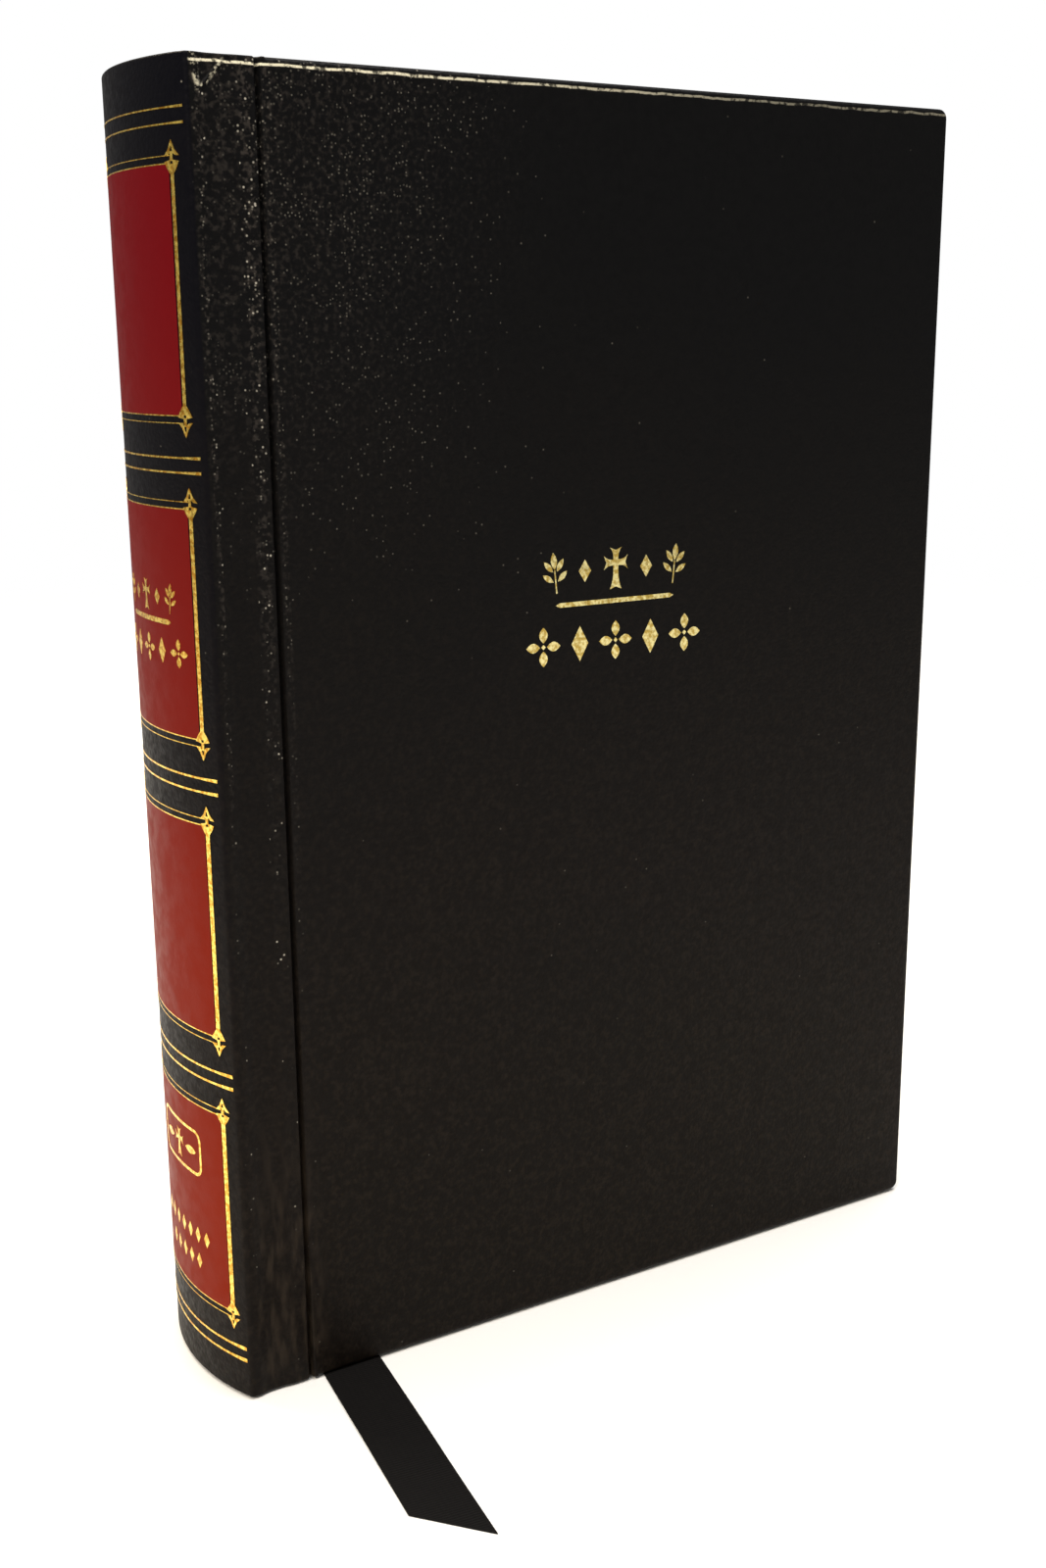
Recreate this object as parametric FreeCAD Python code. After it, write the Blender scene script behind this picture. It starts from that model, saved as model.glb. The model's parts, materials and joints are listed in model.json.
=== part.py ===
"""A case-bound book standing on its tail: rounded hollow-back case, sewn text block, ribbon marker.

The frame's origin is the middle of the object's foot, +Z up to the head, +X from the spine to the
fore-edge, and -Y out of the front cover. Drawing coordinates start at the front ridge of the spine, on the
outer face of the front cover, at the surface that the book stands on; place() moves them to the frame.
Everything on the back is the mirror of the front in the middle plane of the thickness.
"""
import FreeCAD, Part
import math
import os

V = FreeCAD.Vector

# Overall sizes
BOOK_HEIGHT = 190.0         # standing height
COVER_WIDTH = 129.0         # front ridge of the spine to the fore-edge of the board
BOOK_THICKNESS = 31.4       # outer face of one cover to the other
SPINE_BULGE = 3.6           # how far the round back stands out behind the two ridges
TAIL_LIFT = 0.4             # the marker ribbon lies under the tail, so the case stands this much higher

# Case
COVERING = 0.4              # covering material over the boards and the spine
BOARD = 2.2                 # thickness of a cover board
BOARD_START = 10.3          # spine-side edge of the boards, from the ridge
BOARD_CORNER = 1.5          # rounded outer corners of the covered boards
TURN_IN = 14.0              # width of the covering turned over the board's inner face
TURN_IN_THICK = 0.2         # the covering pared thin where it is turned in
PASTEDOWN = 0.15            # thickness of the endpaper
PASTEDOWN_MARGIN = 4.0      # turn-in left showing round the pastedown
SPINE_BOARD = 0.8           # card in the round back
SPINE_BOARD_INSET = 0.9     # the card stops short of the ridges
HOLLOW = 0.7                # gap between the card and the lined back of the text block

# Joint between the spine and a board
RIDGE_END = 1.1             # flat top of the ridge
GROOVE_SPLIT = 6.5          # the joint folds along this line
GROOVE_DEEP_AT = 8.4
GROOVE_DEPTH = 1.0
JOINT_GAP = 0.1             # clearance where two strips meet at the fold

# Text block
SQUARE = 3.2                # how far the case stands out past the leaves
FLYLEAF_GAP = 0.1
GROUPS = 4                  # leaf groups in one half
PER_GROUP = 3               # signatures in one leaf group
SIGNATURE_GAP = 0.03
GROUP_GAP = 0.12
MARKER_SLOT = 0.4           # gap between the two halves of the block, where the marker lies
GUTTER_FIRST = 3.0          # sewn and glued depth of the outermost group, from the ridge line
GUTTER_STEP = 2.75          # each inner group starts to bend this much further out
GUTTER_GAP = 0.1            # clearance between the fixed gutter and the turning leaves
FLYLEAF_HINGE = 5.0         # tipped-on strip of the flyleaf, from the ridge line to where it turns
LINING = 0.25
MULL = 0.15
GLUE = 0.3
THREAD = 0.1                # radius of the sewing thread
THREAD_INSET = 14.0         # first and last sewing stations, from the ends of the block
STATIONS = 6
BAND = 0.8                  # radius of the head and tail bands
BAND_GAP = 0.1

# Marker ribbon
RIBBON_WIDTH = 9.5
RIBBON_THICK = 0.2
RIBBON_EXIT = 18.5          # middle of the ribbon where it leaves the tail of the leaves
RIBBON_HEAD = 5.6           # middle of the ribbon where it enters at the head
RIBBON_BEND = 2.6           # radius of its turn on to the surface
RIBBON_DRIFT = 6.8          # degrees that the free end swings toward the spine
RIBBON_OUT = 41.5           # middle of its end, out from the front cover
RIBBON_SLANT = 4.3          # half the length difference between its two edges at the slant cut

# Stamping
FOIL = 0.06
RULE = 0.7                  # width of a gold rule
RULE_SPACING = 1.95         # between the two rules of a pair
FIRST_RULES = 7.4           # middle of the outermost pairs, from the foot and from the head
RULE_INSET = 0.9            # end of a rule, along the back from the ridge
LABEL_ABOVE = 6.55          # lower edge of a label above the middle of the rules below it
LABEL_BELOW = 5.85          # upper edge of a label below the middle of the rules above it
LABEL_INSET = 3.8           # label's edge, along the back from the ridge
FRAME_INSET = 3.2           # middle of the gold frame's side, along the back from the ridge
FRAME_WIDTH = 0.75
THIN_LINE = 0.3
THIN_OFFSET = 0.9
FLEURON_HEIGHT = 3.8
FLEURON_WIDTH = 3.0
LABELS = 4
STAMP_X = 65.0              # middle of the cover stamp, from the ridge
STAMP_TOP = 120.8           # middle of its upper row
STAMP_RULE = 115.9
STAMP_LOW = 109.8
STAMP_RULE_LENGTH = 21.6
STAMP_PITCH = 6.5
STAMP_PETALS = 6.0          # across one flower of its lower row
SPINE_STAMP_MARGIN = 1.32   # label showing at each end of the small copy on the spine
EMBLEM_ABOVE = 23.3         # middle of the emblem above the lower edge of the lowest label
EMBLEM_HEIGHT = 7.5
EMBLEM_WIDTH = 14.5
EMBLEM_CORNER = 1.8
EMBLEM_LINE = 0.5
ORNAMENT_ROWS = (9.6, 5.3)  # two small rows above the lower edge of the lowest label

# Sizes that follow
TAIL = TAIL_LIFT
HEAD = BOOK_HEIGHT
MIDDLE = BOOK_THICKNESS / 2
CENTRE_X = (COVER_WIDTH - SPINE_BULGE) / 2
BACK_RADIUS = (MIDDLE ** 2 + SPINE_BULGE ** 2) / (2 * SPINE_BULGE)
BACK_AXIS = BACK_RADIUS - SPINE_BULGE
BACK_HALF_ANGLE = math.asin(MIDDLE / BACK_RADIUS)
PASTEDOWN_FACE = COVERING + BOARD + TURN_IN_THICK + PASTEDOWN
FLYLEAF_FACE = PASTEDOWN_FACE + FLYLEAF_GAP
BLOCK_FACE = FLYLEAF_FACE + PASTEDOWN + FLYLEAF_GAP
HALF_BLOCK = MIDDLE - MARKER_SLOT / 2 - BLOCK_FACE
GROUP_PITCH = (HALF_BLOCK + GROUP_GAP) / GROUPS
GROUP_THICK = GROUP_PITCH - GROUP_GAP
SIGNATURE_PITCH = (GROUP_THICK + SIGNATURE_GAP) / PER_GROUP
SIGNATURE = SIGNATURE_PITCH - SIGNATURE_GAP
LINING_RADIUS = BACK_RADIUS - COVERING - SPINE_BOARD - HOLLOW
BLOCK_RADIUS = LINING_RADIUS - LINING - MULL - GLUE
LEAF_TAIL = TAIL + SQUARE
LEAF_HEAD = HEAD - SQUARE
BAND_PITCH = (HEAD - 2 * FIRST_RULES) / LABELS
LABEL_HEIGHT = BAND_PITCH - LABEL_ABOVE - LABEL_BELOW


def back_at(y, radius):
    """x of a round-back surface of this radius at depth y."""
    return BACK_AXIS - math.sqrt(radius ** 2 - (y - MIDDLE) ** 2)


LEAF_WIDTH = COVER_WIDTH - SQUARE - back_at(BLOCK_FACE, BLOCK_RADIUS)


def box(x0, x1, y0, y1, z0, z1):
    return Part.makeBox(x1 - x0, y1 - y0, z1 - z0, V(x0, y0, z0))


def place(shape):
    """From drawing coordinates to the object's frame."""
    moved = shape.copy()
    moved.translate(V(-CENTRE_X, -MIDDLE, 0))
    return moved


def save(name, shape):
    place(shape).exportStep(f"parts/{name}.step")


def save_pair(front_name, back_name, shape):
    save(front_name, shape)
    save(back_name, shape.mirror(V(0, MIDDLE, 0), V(0, 1, 0)))


def prism(points, z0, z1):
    """An upright solid on a closed outline in the plan."""
    outline = Part.makePolygon([V(x, y, z0) for x, y in points + points[:1]])
    return Part.Face(outline).extrude(V(0, 0, z1 - z0))


def shell(outer, inner, y0, y1, z0, z1):
    """A piece of the round back between two radii."""
    at = V(BACK_AXIS, MIDDLE, z0)
    tube = Part.makeCylinder(outer, z1 - z0, at).cut(Part.makeCylinder(inner, z1 - z0, at))
    return tube.common(box(BACK_AXIS - outer - 1, BACK_AXIS - outer / 2, y0, y1, z0, z1))


# Case


def cover_board():
    board = box(BOARD_START, COVER_WIDTH - COVERING, COVERING, COVERING + BOARD,
                TAIL + COVERING, HEAD - COVERING)
    return round_corners(board, BOARD_CORNER - COVERING, COVER_WIDTH - COVERING)


def round_corners(plate, radius, edge_x):
    """Rounds the two corners of a cover plate at its fore-edge."""
    corners = [e for e in plate.Edges
               if len(e.Vertexes) == 2
               and all(abs(v.X - edge_x) < 1e-6 for v in e.Vertexes)
               and abs(e.Vertexes[0].Z - e.Vertexes[1].Z) < 1e-6]
    return plate.makeFillet(radius, corners)


def cover_covering():
    """Covering over the board's outer face and edges, turned in at head, tail and fore-edge."""
    start = BOARD_START - (BOARD_START - GROOVE_DEEP_AT) / 9
    inner_face = COVERING + BOARD + TURN_IN_THICK
    whole = round_corners(box(start, COVER_WIDTH, 0, inner_face, TAIL, HEAD), BOARD_CORNER, COVER_WIDTH)
    hollow = round_corners(box(start - 1, COVER_WIDTH - COVERING, COVERING, COVERING + BOARD,
                               TAIL + COVERING, HEAD - COVERING),
                           BOARD_CORNER - COVERING, COVER_WIDTH - COVERING)
    window = box(start - 1, COVER_WIDTH - TURN_IN, COVERING + BOARD / 2, inner_face + 1,
                 TAIL + TURN_IN, HEAD - TURN_IN)
    return whole.cut(hollow).cut(window)


def pastedown():
    """Endpaper glued to the board's inner face and over the turned-in covering."""
    face = COVERING + BOARD
    middle = box(BOARD_START, COVER_WIDTH - TURN_IN, face, PASTEDOWN_FACE, TAIL + TURN_IN, HEAD - TURN_IN)
    sheet = box(BOARD_START, COVER_WIDTH - PASTEDOWN_MARGIN, face + TURN_IN_THICK, PASTEDOWN_FACE,
                TAIL + PASTEDOWN_MARGIN, HEAD - PASTEDOWN_MARGIN)
    return middle.fuse(sheet).removeSplitter()


def groove_y(x):
    """Outer face of the covering across the joint: a shallow trough that is deepest near the board."""
    if x <= GROOVE_DEEP_AT:
        turn = (x - RIDGE_END) / (GROOVE_DEEP_AT - RIDGE_END)
    else:
        turn = (BOARD_START - x) / (BOARD_START - GROOVE_DEEP_AT)
    return GROOVE_DEPTH * (1 - math.cos(math.pi * max(0.0, min(1.0, turn)))) / 2


def joint_strip(x0, x1):
    """A strip of the covering across part of the joint."""
    steps = 8
    stops = [x0 + (x1 - x0) * i / steps for i in range(steps + 1)]
    outer = [(x, groove_y(x)) for x in stops]
    inner = [(x, groove_y(x) + COVERING) for x in reversed(stops)]
    return prism(outer + inner, TAIL, HEAD)


def spine_covering():
    """Covering on the round back, with the turned-over ends at head and tail."""
    outer = BACK_RADIUS
    card = outer - COVERING - SPINE_BOARD
    skin = shell(outer, outer - COVERING, 0, BOOK_THICKNESS, TAIL, HEAD)
    solid = skin
    inset = SPINE_BOARD_INSET + COVERING
    for z0, z1, cap in ((TAIL, TAIL + TURN_IN, TAIL), (HEAD - TURN_IN, HEAD, HEAD - COVERING)):
        turned = shell(card, card - TURN_IN_THICK, inset, BOOK_THICKNESS - inset, z0, z1)
        over = shell(outer - COVERING / 2, card - TURN_IN_THICK, inset, BOOK_THICKNESS - inset,
                     cap, cap + COVERING)
        solid = solid.fuse(turned).fuse(over)
    return solid.removeSplitter()


def spine_card():
    outer = BACK_RADIUS - COVERING
    return shell(outer, outer - SPINE_BOARD, SPINE_BOARD_INSET, BOOK_THICKNESS - SPINE_BOARD_INSET,
                 TAIL + COVERING, HEAD - COVERING)


# Text block


def group_start(group):
    """Where the leaves of a group start to turn."""
    return GUTTER_FIRST + group * GUTTER_STEP


def group_face(group):
    """Outer face of a group, nearest the cover."""
    return BLOCK_FACE + group * GROUP_PITCH


def signature_face(group, index):
    return group_face(group) + index * SIGNATURE_PITCH


def signature_leaves(group, index):
    y0 = signature_face(group, index)
    fore_edge = back_at(y0 + SIGNATURE / 2, BLOCK_RADIUS) + LEAF_WIDTH
    return box(group_start(group) + GUTTER_GAP, fore_edge, y0, y0 + SIGNATURE, LEAF_TAIL, LEAF_HEAD)


def gutter():
    """Sewn and glued backs of one half's signatures: round behind, and stepped where the leaves turn."""
    inner = group_face(GROUPS - 1) + GROUP_THICK
    solid = None
    for group in range(GROUPS):
        y0 = group_face(group)
        y1 = y0 + GROUP_PITCH if group < GROUPS - 1 else inner
        step = box(back_at(MIDDLE, BLOCK_RADIUS) - 1, group_start(group), y0, y1, LEAF_TAIL, LEAF_HEAD)
        solid = step if solid is None else solid.fuse(step)
    at = V(BACK_AXIS, MIDDLE, LEAF_TAIL)
    return solid.common(Part.makeCylinder(BLOCK_RADIUS, LEAF_HEAD - LEAF_TAIL, at)).removeSplitter()


def flyleaf():
    return box(FLYLEAF_HINGE + GUTTER_GAP, COVER_WIDTH - SQUARE, FLYLEAF_FACE, FLYLEAF_FACE + PASTEDOWN,
               LEAF_TAIL, LEAF_HEAD)


def endpaper_joint():
    """The endpaper where it crosses from the board to the text block."""
    return box(FLYLEAF_HINGE + GUTTER_GAP, BOARD_START - JOINT_GAP, PASTEDOWN_FACE - PASTEDOWN,
               PASTEDOWN_FACE, TAIL + PASTEDOWN_MARGIN, HEAD - PASTEDOWN_MARGIN)


def block_shell(outer, thick, z0, z1):
    return shell(outer, outer - thick, BLOCK_FACE, BOOK_THICKNESS - BLOCK_FACE, z0, z1)


def back_arc(radius, z, thick):
    """A round cord along the back of the block."""
    half = math.asin((MIDDLE - BLOCK_FACE) / radius) - thick / radius
    at = V(BACK_AXIS, MIDDLE, z)
    start = V(at.x - radius * math.cos(half), at.y - radius * math.sin(half), z)
    tangent = V(-math.sin(half), math.cos(half), 0)
    circle = Part.Face(Part.Wire([Part.makeCircle(thick, start, tangent)]))
    return circle.revolve(at, V(0, 0, -1), math.degrees(2 * half))


def sewing_thread():
    pitch = (LEAF_HEAD - LEAF_TAIL - 2 * THREAD_INSET) / (STATIONS - 1)
    radius = BLOCK_RADIUS + GLUE / 2
    runs = [back_arc(radius, LEAF_TAIL + THREAD_INSET + i * pitch, THREAD) for i in range(STATIONS)]
    return Part.makeCompound(runs)


def marker_in_block():
    """The marker between the two halves, from the back of the head to the tail."""
    y0 = MIDDLE - RIBBON_THICK / 2
    half = RIBBON_WIDTH / 2
    corners = [(RIBBON_EXIT - half, LEAF_TAIL), (RIBBON_EXIT + half, LEAF_TAIL),
               (RIBBON_HEAD + half, LEAF_HEAD), (RIBBON_HEAD - half, LEAF_HEAD)]
    outline = Part.makePolygon([V(x, y0, z) for x, z in corners + corners[:1]])
    return Part.Face(outline).extrude(V(0, RIBBON_THICK, 0))


def free_marker():
    """The marker's free end: down out of the leaves, round on to the surface, and out past the cover."""
    t = RIBBON_THICK
    bend = RIBBON_BEND
    reach = MIDDLE + RIBBON_OUT + RIBBON_SLANT
    top = LEAF_TAIL
    far = -reach
    turn = math.sqrt(0.5)
    upright = Part.makePolygon([V(0, t / 2, bend), V(0, t / 2, top), V(0, -t / 2, top), V(0, -t / 2, bend)])
    inner = bend - t
    inside = Part.Arc(V(0, -t / 2, bend), V(0, -t / 2 - inner + inner * turn, bend - inner * turn),
                      V(0, -t / 2 - inner, t)).toShape()
    outside = Part.Arc(V(0, t / 2, bend), V(0, t / 2 - bend + bend * turn, bend - bend * turn),
                       V(0, t / 2 - bend, 0)).toShape()
    flat = Part.makePolygon([V(0, -t / 2 - inner, t), V(0, far, t), V(0, far, 0), V(0, t / 2 - bend, 0)])
    wire = Part.Wire(Part.__sortEdges__(upright.Edges + inside.Edges + flat.Edges + outside.Edges))
    strip = Part.Face(wire).extrude(V(RIBBON_WIDTH, 0, 0))
    strip.translate(V(-RIBBON_WIDTH / 2, 0, 0))
    middle_end = -(MIDDLE + RIBBON_OUT)
    half = RIBBON_WIDTH / 2
    cut = Part.makePolygon([V(-half, middle_end + RIBBON_SLANT, -1), V(half, middle_end - RIBBON_SLANT, -1),
                            V(half, far - 5, -1), V(-half, far - 5, -1),
                            V(-half, middle_end + RIBBON_SLANT, -1)])
    strip = strip.cut(Part.Face(cut).extrude(V(0, 0, 3)))
    strip.rotate(V(0, 0, 0), V(0, 0, 1), -RIBBON_DRIFT)
    strip.translate(V(RIBBON_EXIT, MIDDLE, 0))
    print(f"marker turns on to the surface at a radius of {RIBBON_BEND} mm")
    return strip


# Stamping


def lens(length, width):
    """A leaf-shaped face, pointed at both ends, along +Y of the drawing plane."""
    half, bow = length / 2, width / 2
    right = Part.Arc(V(0, -half, 0), V(bow, 0, 0), V(0, half, 0)).toShape()
    left = Part.Arc(V(0, half, 0), V(-bow, 0, 0), V(0, -half, 0)).toShape()
    return Part.Face(Part.Wire([right, left]))


def polygon_face(points):
    return Part.Face(Part.makePolygon([V(x, y, 0) for x, y in points + points[:1]]))


def lozenge(height, width):
    return polygon_face([(0, -height / 2), (width / 2, 0), (0, height / 2), (-width / 2, 0)])


def rounded_face(width, height, corner):
    """A rectangle with rounded corners, about the origin."""
    block = Part.makeBox(width, height, 1, V(-width / 2, -height / 2, 0))
    block = block.makeFillet(corner, [e for e in block.Edges if e.BoundBox.ZLength > 0.5])
    return [f for f in block.Faces if f.BoundBox.ZLength < 1e-6 and f.BoundBox.ZMin < 0.5][0]


def turned(face, degrees):
    copy = face.copy()
    copy.rotate(V(0, 0, 0), V(0, 0, 1), degrees)
    return copy


def moved(face, x, y):
    copy = face.copy()
    copy.translate(V(x, y, 0))
    return copy


def cross_motif(height):
    """A plain cross with arms that widen to their ends."""
    narrow, wide, arm = height * 0.07, height * 0.17, height * 0.34
    bars = []
    for degrees, length in ((0, height * 0.36), (90, arm), (180, height * 0.64), (270, arm)):
        bar = polygon_face([(-narrow, 0), (narrow, 0), (wide, length), (0, length - wide / 2), (-wide, length)])
        bars.append(moved(turned(bar, degrees), 0, height * 0.14))
    return bars[0].multiFuse(bars[1:]).removeSplitter()


def petals_motif(size):
    """Four pointed petals about a gap."""
    length = size * 0.42
    return Part.makeCompound([turned(moved(lens(length, size * 0.26), 0, size * 0.08 + length / 2), a)
                              for a in (0, 90, 180, 270)])


def sprig_motif(height, side):
    """A sprig of separate leaves: one at the tip, two pairs below it, and a short stalk."""
    leaves = [moved(lens(height * 0.42, height * 0.17), 0, height * 0.29),
              moved(lens(height * 0.26, height * 0.07), 0, -height * 0.37)]
    for y, turn in ((0.0, 38), (-0.24, 52)):
        for way in (-1, 1):
            leaf = moved(lens(height * 0.36, height * 0.14), 0, height * 0.22)
            leaves.append(moved(turned(leaf, -way * turn), way * height * 0.03, y * height))
    return turned(Part.makeCompound(leaves), -side * 6)


def stamp_faces(scale):
    """The stamp in place of a title: cross and sprigs, a rule, and a row of petals and lozenges."""
    pitch = STAMP_PITCH * scale
    faces = []
    top = (STAMP_TOP - STAMP_RULE) * scale
    low = (STAMP_LOW - STAMP_RULE) * scale
    faces.append(moved(cross_motif(6.4 * scale), 0, top))
    for side in (-1, 1):
        faces.append(moved(lozenge(3.4 * scale, 2.2 * scale), side * pitch * 0.86, top))
        faces.append(moved(sprig_motif(6.2 * scale, side), side * pitch * 1.68, top))
    length = STAMP_RULE_LENGTH * scale
    faces.append(polygon_face([(-length / 2, 0), (-length / 2 + RULE, -RULE / 2), (length / 2 - RULE, -RULE / 2),
                               (length / 2, 0), (length / 2 - RULE, RULE / 2), (-length / 2 + RULE, RULE / 2)]))
    for i in (-2, 0, 2):
        faces.append(moved(petals_motif(STAMP_PETALS * scale), i * pitch, low))
    for i in (-1, 1):
        faces.append(moved(lozenge(5.4 * scale, 3.0 * scale), i * pitch, low))
    return faces


def solids_of(faces):
    """Every separate face of some faces and compounds."""
    return [f for item in faces for f in item.Faces]


def stamp_on_cover():
    """Foil on the front cover's outer face."""
    foil = []
    for face in solids_of(stamp_faces(1.0)):
        upright = face.copy()
        upright.rotate(V(0, 0, 0), V(1, 0, 0), 90)
        upright.translate(V(STAMP_X, 0, STAMP_RULE))
        foil.append(upright.extrude(V(0, -FOIL, 0)))
    return Part.makeCompound(foil)


def wrap(faces, z, top, base):
    """Foil on the round back: faces drawn about the middle of the spine, pressed between two radii."""
    foil = []
    at = V(BACK_AXIS, MIDDLE, 0)
    skin = Part.makeCylinder(top, BOOK_HEIGHT, at).cut(Part.makeCylinder(base, BOOK_HEIGHT, at))
    for face in faces:
        upright = face.copy()
        upright.rotate(V(0, 0, 0), V(1, 1, 1), 120)
        upright.rotate(V(0, 0, 0), V(0, 0, 1), 180)
        upright.translate(V(BACK_AXIS - BACK_RADIUS - 1, MIDDLE, z))
        prism_ = upright.extrude(V(BACK_RADIUS * (1 - math.cos(BACK_HALF_ANGLE)) + 2, 0, 0))
        foil += prism_.common(skin).Solids
    return foil


def across(s):
    """Depth from the middle plane of a point at this distance along the back from a ridge."""
    return BACK_RADIUS * math.sin(BACK_HALF_ANGLE - s / BACK_RADIUS)


def strip_face(half_width, y, width):
    return polygon_face([(-half_width, y - width / 2), (half_width, y - width / 2),
                         (half_width, y + width / 2), (-half_width, y + width / 2)])


def rules_middle(i):
    return FIRST_RULES + i * BAND_PITCH


def label_low(i):
    return rules_middle(i) + LABEL_ABOVE


def spine_rules():
    faces = []
    half = across(RULE_INSET)
    for i in range(LABELS + 1):
        for way in (-1, 1):
            faces.append(strip_face(half, rules_middle(i) + way * RULE_SPACING / 2, RULE))
    return Part.makeCompound(wrap(faces, 0, BACK_RADIUS + FOIL, BACK_RADIUS))


def label(i):
    face = strip_face(across(LABEL_INSET), label_low(i) + LABEL_HEIGHT / 2, LABEL_HEIGHT)
    return wrap([face], 0, BACK_RADIUS + FOIL, BACK_RADIUS)[0]


def fleuron(way):
    """A finial on a corner of the frame: a spearhead over a cup, both centred on the frame's side."""
    half, height = FLEURON_WIDTH / 2, FLEURON_HEIGHT
    spear = [(0, height * 0.56), (-half * 0.55, height * 0.26), (-half, height * 0.1), (-0.22, height * 0.16),
             (-0.22, -height * 0.04), (-half * 0.95, height * 0.02), (-half * 0.62, -height * 0.2),
             (-0.3, -height * 0.3)]
    right = [(-x, y) for x, y in reversed(spear[1:])]
    return [polygon_face([(x, way * y) for x, y in spear + right])]


def label_frame(i):
    """Gold frame of one label, as one run of foil with a finial on each corner."""
    side = across(FRAME_INSET)
    edge = across(LABEL_INSET)
    low, high = label_low(i), label_low(i) + LABEL_HEIGHT
    faces = []
    for x in (-side, side):
        faces.append(moved(strip_face(FRAME_WIDTH / 2, (low + high) / 2, LABEL_HEIGHT), x, 0))
        for y, way in ((low, -1), (high, 1)):
            faces += [moved(f, x, y) for f in fleuron(way)]
    for y in (low - THIN_OFFSET, low, high, high + THIN_OFFSET):
        out = THIN_LINE / 2 if y in (low - THIN_OFFSET, low) else -THIN_LINE / 2
        faces.append(strip_face(side, y - out, THIN_LINE))
    joined = faces[0].multiFuse(faces[1:])
    keep = joined.cut(strip_face(edge, (low + high) / 2, LABEL_HEIGHT))
    return wrap(solids_of([keep.removeSplitter()]), 0, BACK_RADIUS + FOIL, BACK_RADIUS)


def label_frames():
    return Part.makeCompound([s for i in range(LABELS) for s in label_frame(i)])


def spine_stamp():
    """A small copy of the cover stamp on the second label from the top, as wide as the label allows."""
    z = label_low(LABELS - 2) + LABEL_HEIGHT / 2
    reach = 2 * STAMP_PITCH + STAMP_PETALS / 2
    faces = solids_of(stamp_faces((across(LABEL_INSET) - SPINE_STAMP_MARGIN) / reach))
    return Part.makeCompound(wrap(faces, z, BACK_RADIUS + 2 * FOIL, BACK_RADIUS + FOIL))


def emblem():
    """A small framed cross and two rows of lozenges on the lowest label."""
    low = label_low(0)
    outer = rounded_face(EMBLEM_WIDTH, EMBLEM_HEIGHT, EMBLEM_CORNER)
    inner = rounded_face(EMBLEM_WIDTH - 2 * EMBLEM_LINE, EMBLEM_HEIGHT - 2 * EMBLEM_LINE,
                         EMBLEM_CORNER - EMBLEM_LINE)
    faces = [moved(outer.cut(inner), 0, low + EMBLEM_ABOVE)]
    faces.append(moved(cross_motif(EMBLEM_HEIGHT * 0.62), 0, low + EMBLEM_ABOVE - EMBLEM_HEIGHT * 0.03))
    for way in (-1, 1):
        faces.append(moved(turned(lens(3.4, 1.3), 90), way * EMBLEM_WIDTH * 0.28, low + EMBLEM_ABOVE))
    for y, count in zip(ORNAMENT_ROWS, (7, 5)):
        for i in range(count):
            faces.append(moved(lozenge(2.6, 1.5), (i - (count - 1) / 2) * 2.5, low + y))
    return Part.makeCompound(wrap(solids_of(faces), 0, BACK_RADIUS + 2 * FOIL, BACK_RADIUS + FOIL))


def build():
    os.makedirs("parts", exist_ok=True)
    save_pair("front_board", "back_board", cover_board())
    save_pair("front_covering", "back_covering", cover_covering())
    save_pair("front_pastedown", "back_pastedown", pastedown())
    save_pair("front_flyleaf", "back_flyleaf", flyleaf())
    save_pair("front_endpaper_joint", "back_endpaper_joint", endpaper_joint())
    ridge = COVERING * 1.3
    save_pair("front_joint_ridge", "back_joint_ridge", joint_strip(ridge, GROOVE_SPLIT - JOINT_GAP))
    trough_end = BOARD_START - (BOARD_START - GROOVE_DEEP_AT) / 9
    save_pair("front_joint_trough", "back_joint_trough",
              joint_strip(GROOVE_SPLIT + JOINT_GAP, trough_end - JOINT_GAP))
    save_pair("front_sewn_gutter", "back_sewn_gutter", gutter())
    for group in range(GROUPS):
        for index in range(PER_GROUP):
            number = group * PER_GROUP + index + 1
            save_pair(f"front_signature_{number:02d}", f"back_signature_{number:02d}",
                      signature_leaves(group, index))
    save("spine_card", spine_card())
    save("spine_covering", spine_covering())
    save("spine_lining", block_shell(LINING_RADIUS, LINING, LEAF_TAIL, LEAF_HEAD))
    save("spine_mull", block_shell(LINING_RADIUS - LINING, MULL, LEAF_TAIL + SQUARE * 2, LEAF_HEAD - SQUARE * 2))
    glue = block_shell(BLOCK_RADIUS + GLUE, GLUE, LEAF_TAIL, LEAF_HEAD)
    threads = sewing_thread()
    save("sewing_thread", threads)
    save("spine_glue", glue.cut(threads))
    band_radius = BLOCK_RADIUS - BAND / 2
    save("head_band", back_arc(band_radius, LEAF_HEAD + BAND + BAND_GAP / 10, BAND))
    save("tail_band", back_arc(band_radius, LEAF_TAIL - BAND - BAND_GAP / 10, BAND))
    save("ribbon_marker", marker_in_block())
    save("ribbon_marker_end", free_marker())
    save("cover_stamp", stamp_on_cover())
    for i in range(LABELS):
        save(f"spine_label_{LABELS - i}", label(i))
    save("spine_label_frames", label_frames())
    save("spine_rules", spine_rules())
    save("spine_stamp", spine_stamp())
    save("spine_emblem", emblem())


build()
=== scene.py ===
"""Looks of a compact hardback bible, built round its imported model.

The book stands on its tail. +Z runs up to the head, +X from the spine to the fore-edge, and -Y out of
the front cover. Lengths are metres; sizes written here are millimetres times MM.
"""

import json
import logging
import math
from dataclasses import dataclass
from enum import Enum
from functools import reduce
from typing import Any, Callable, Optional, Sequence

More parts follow.
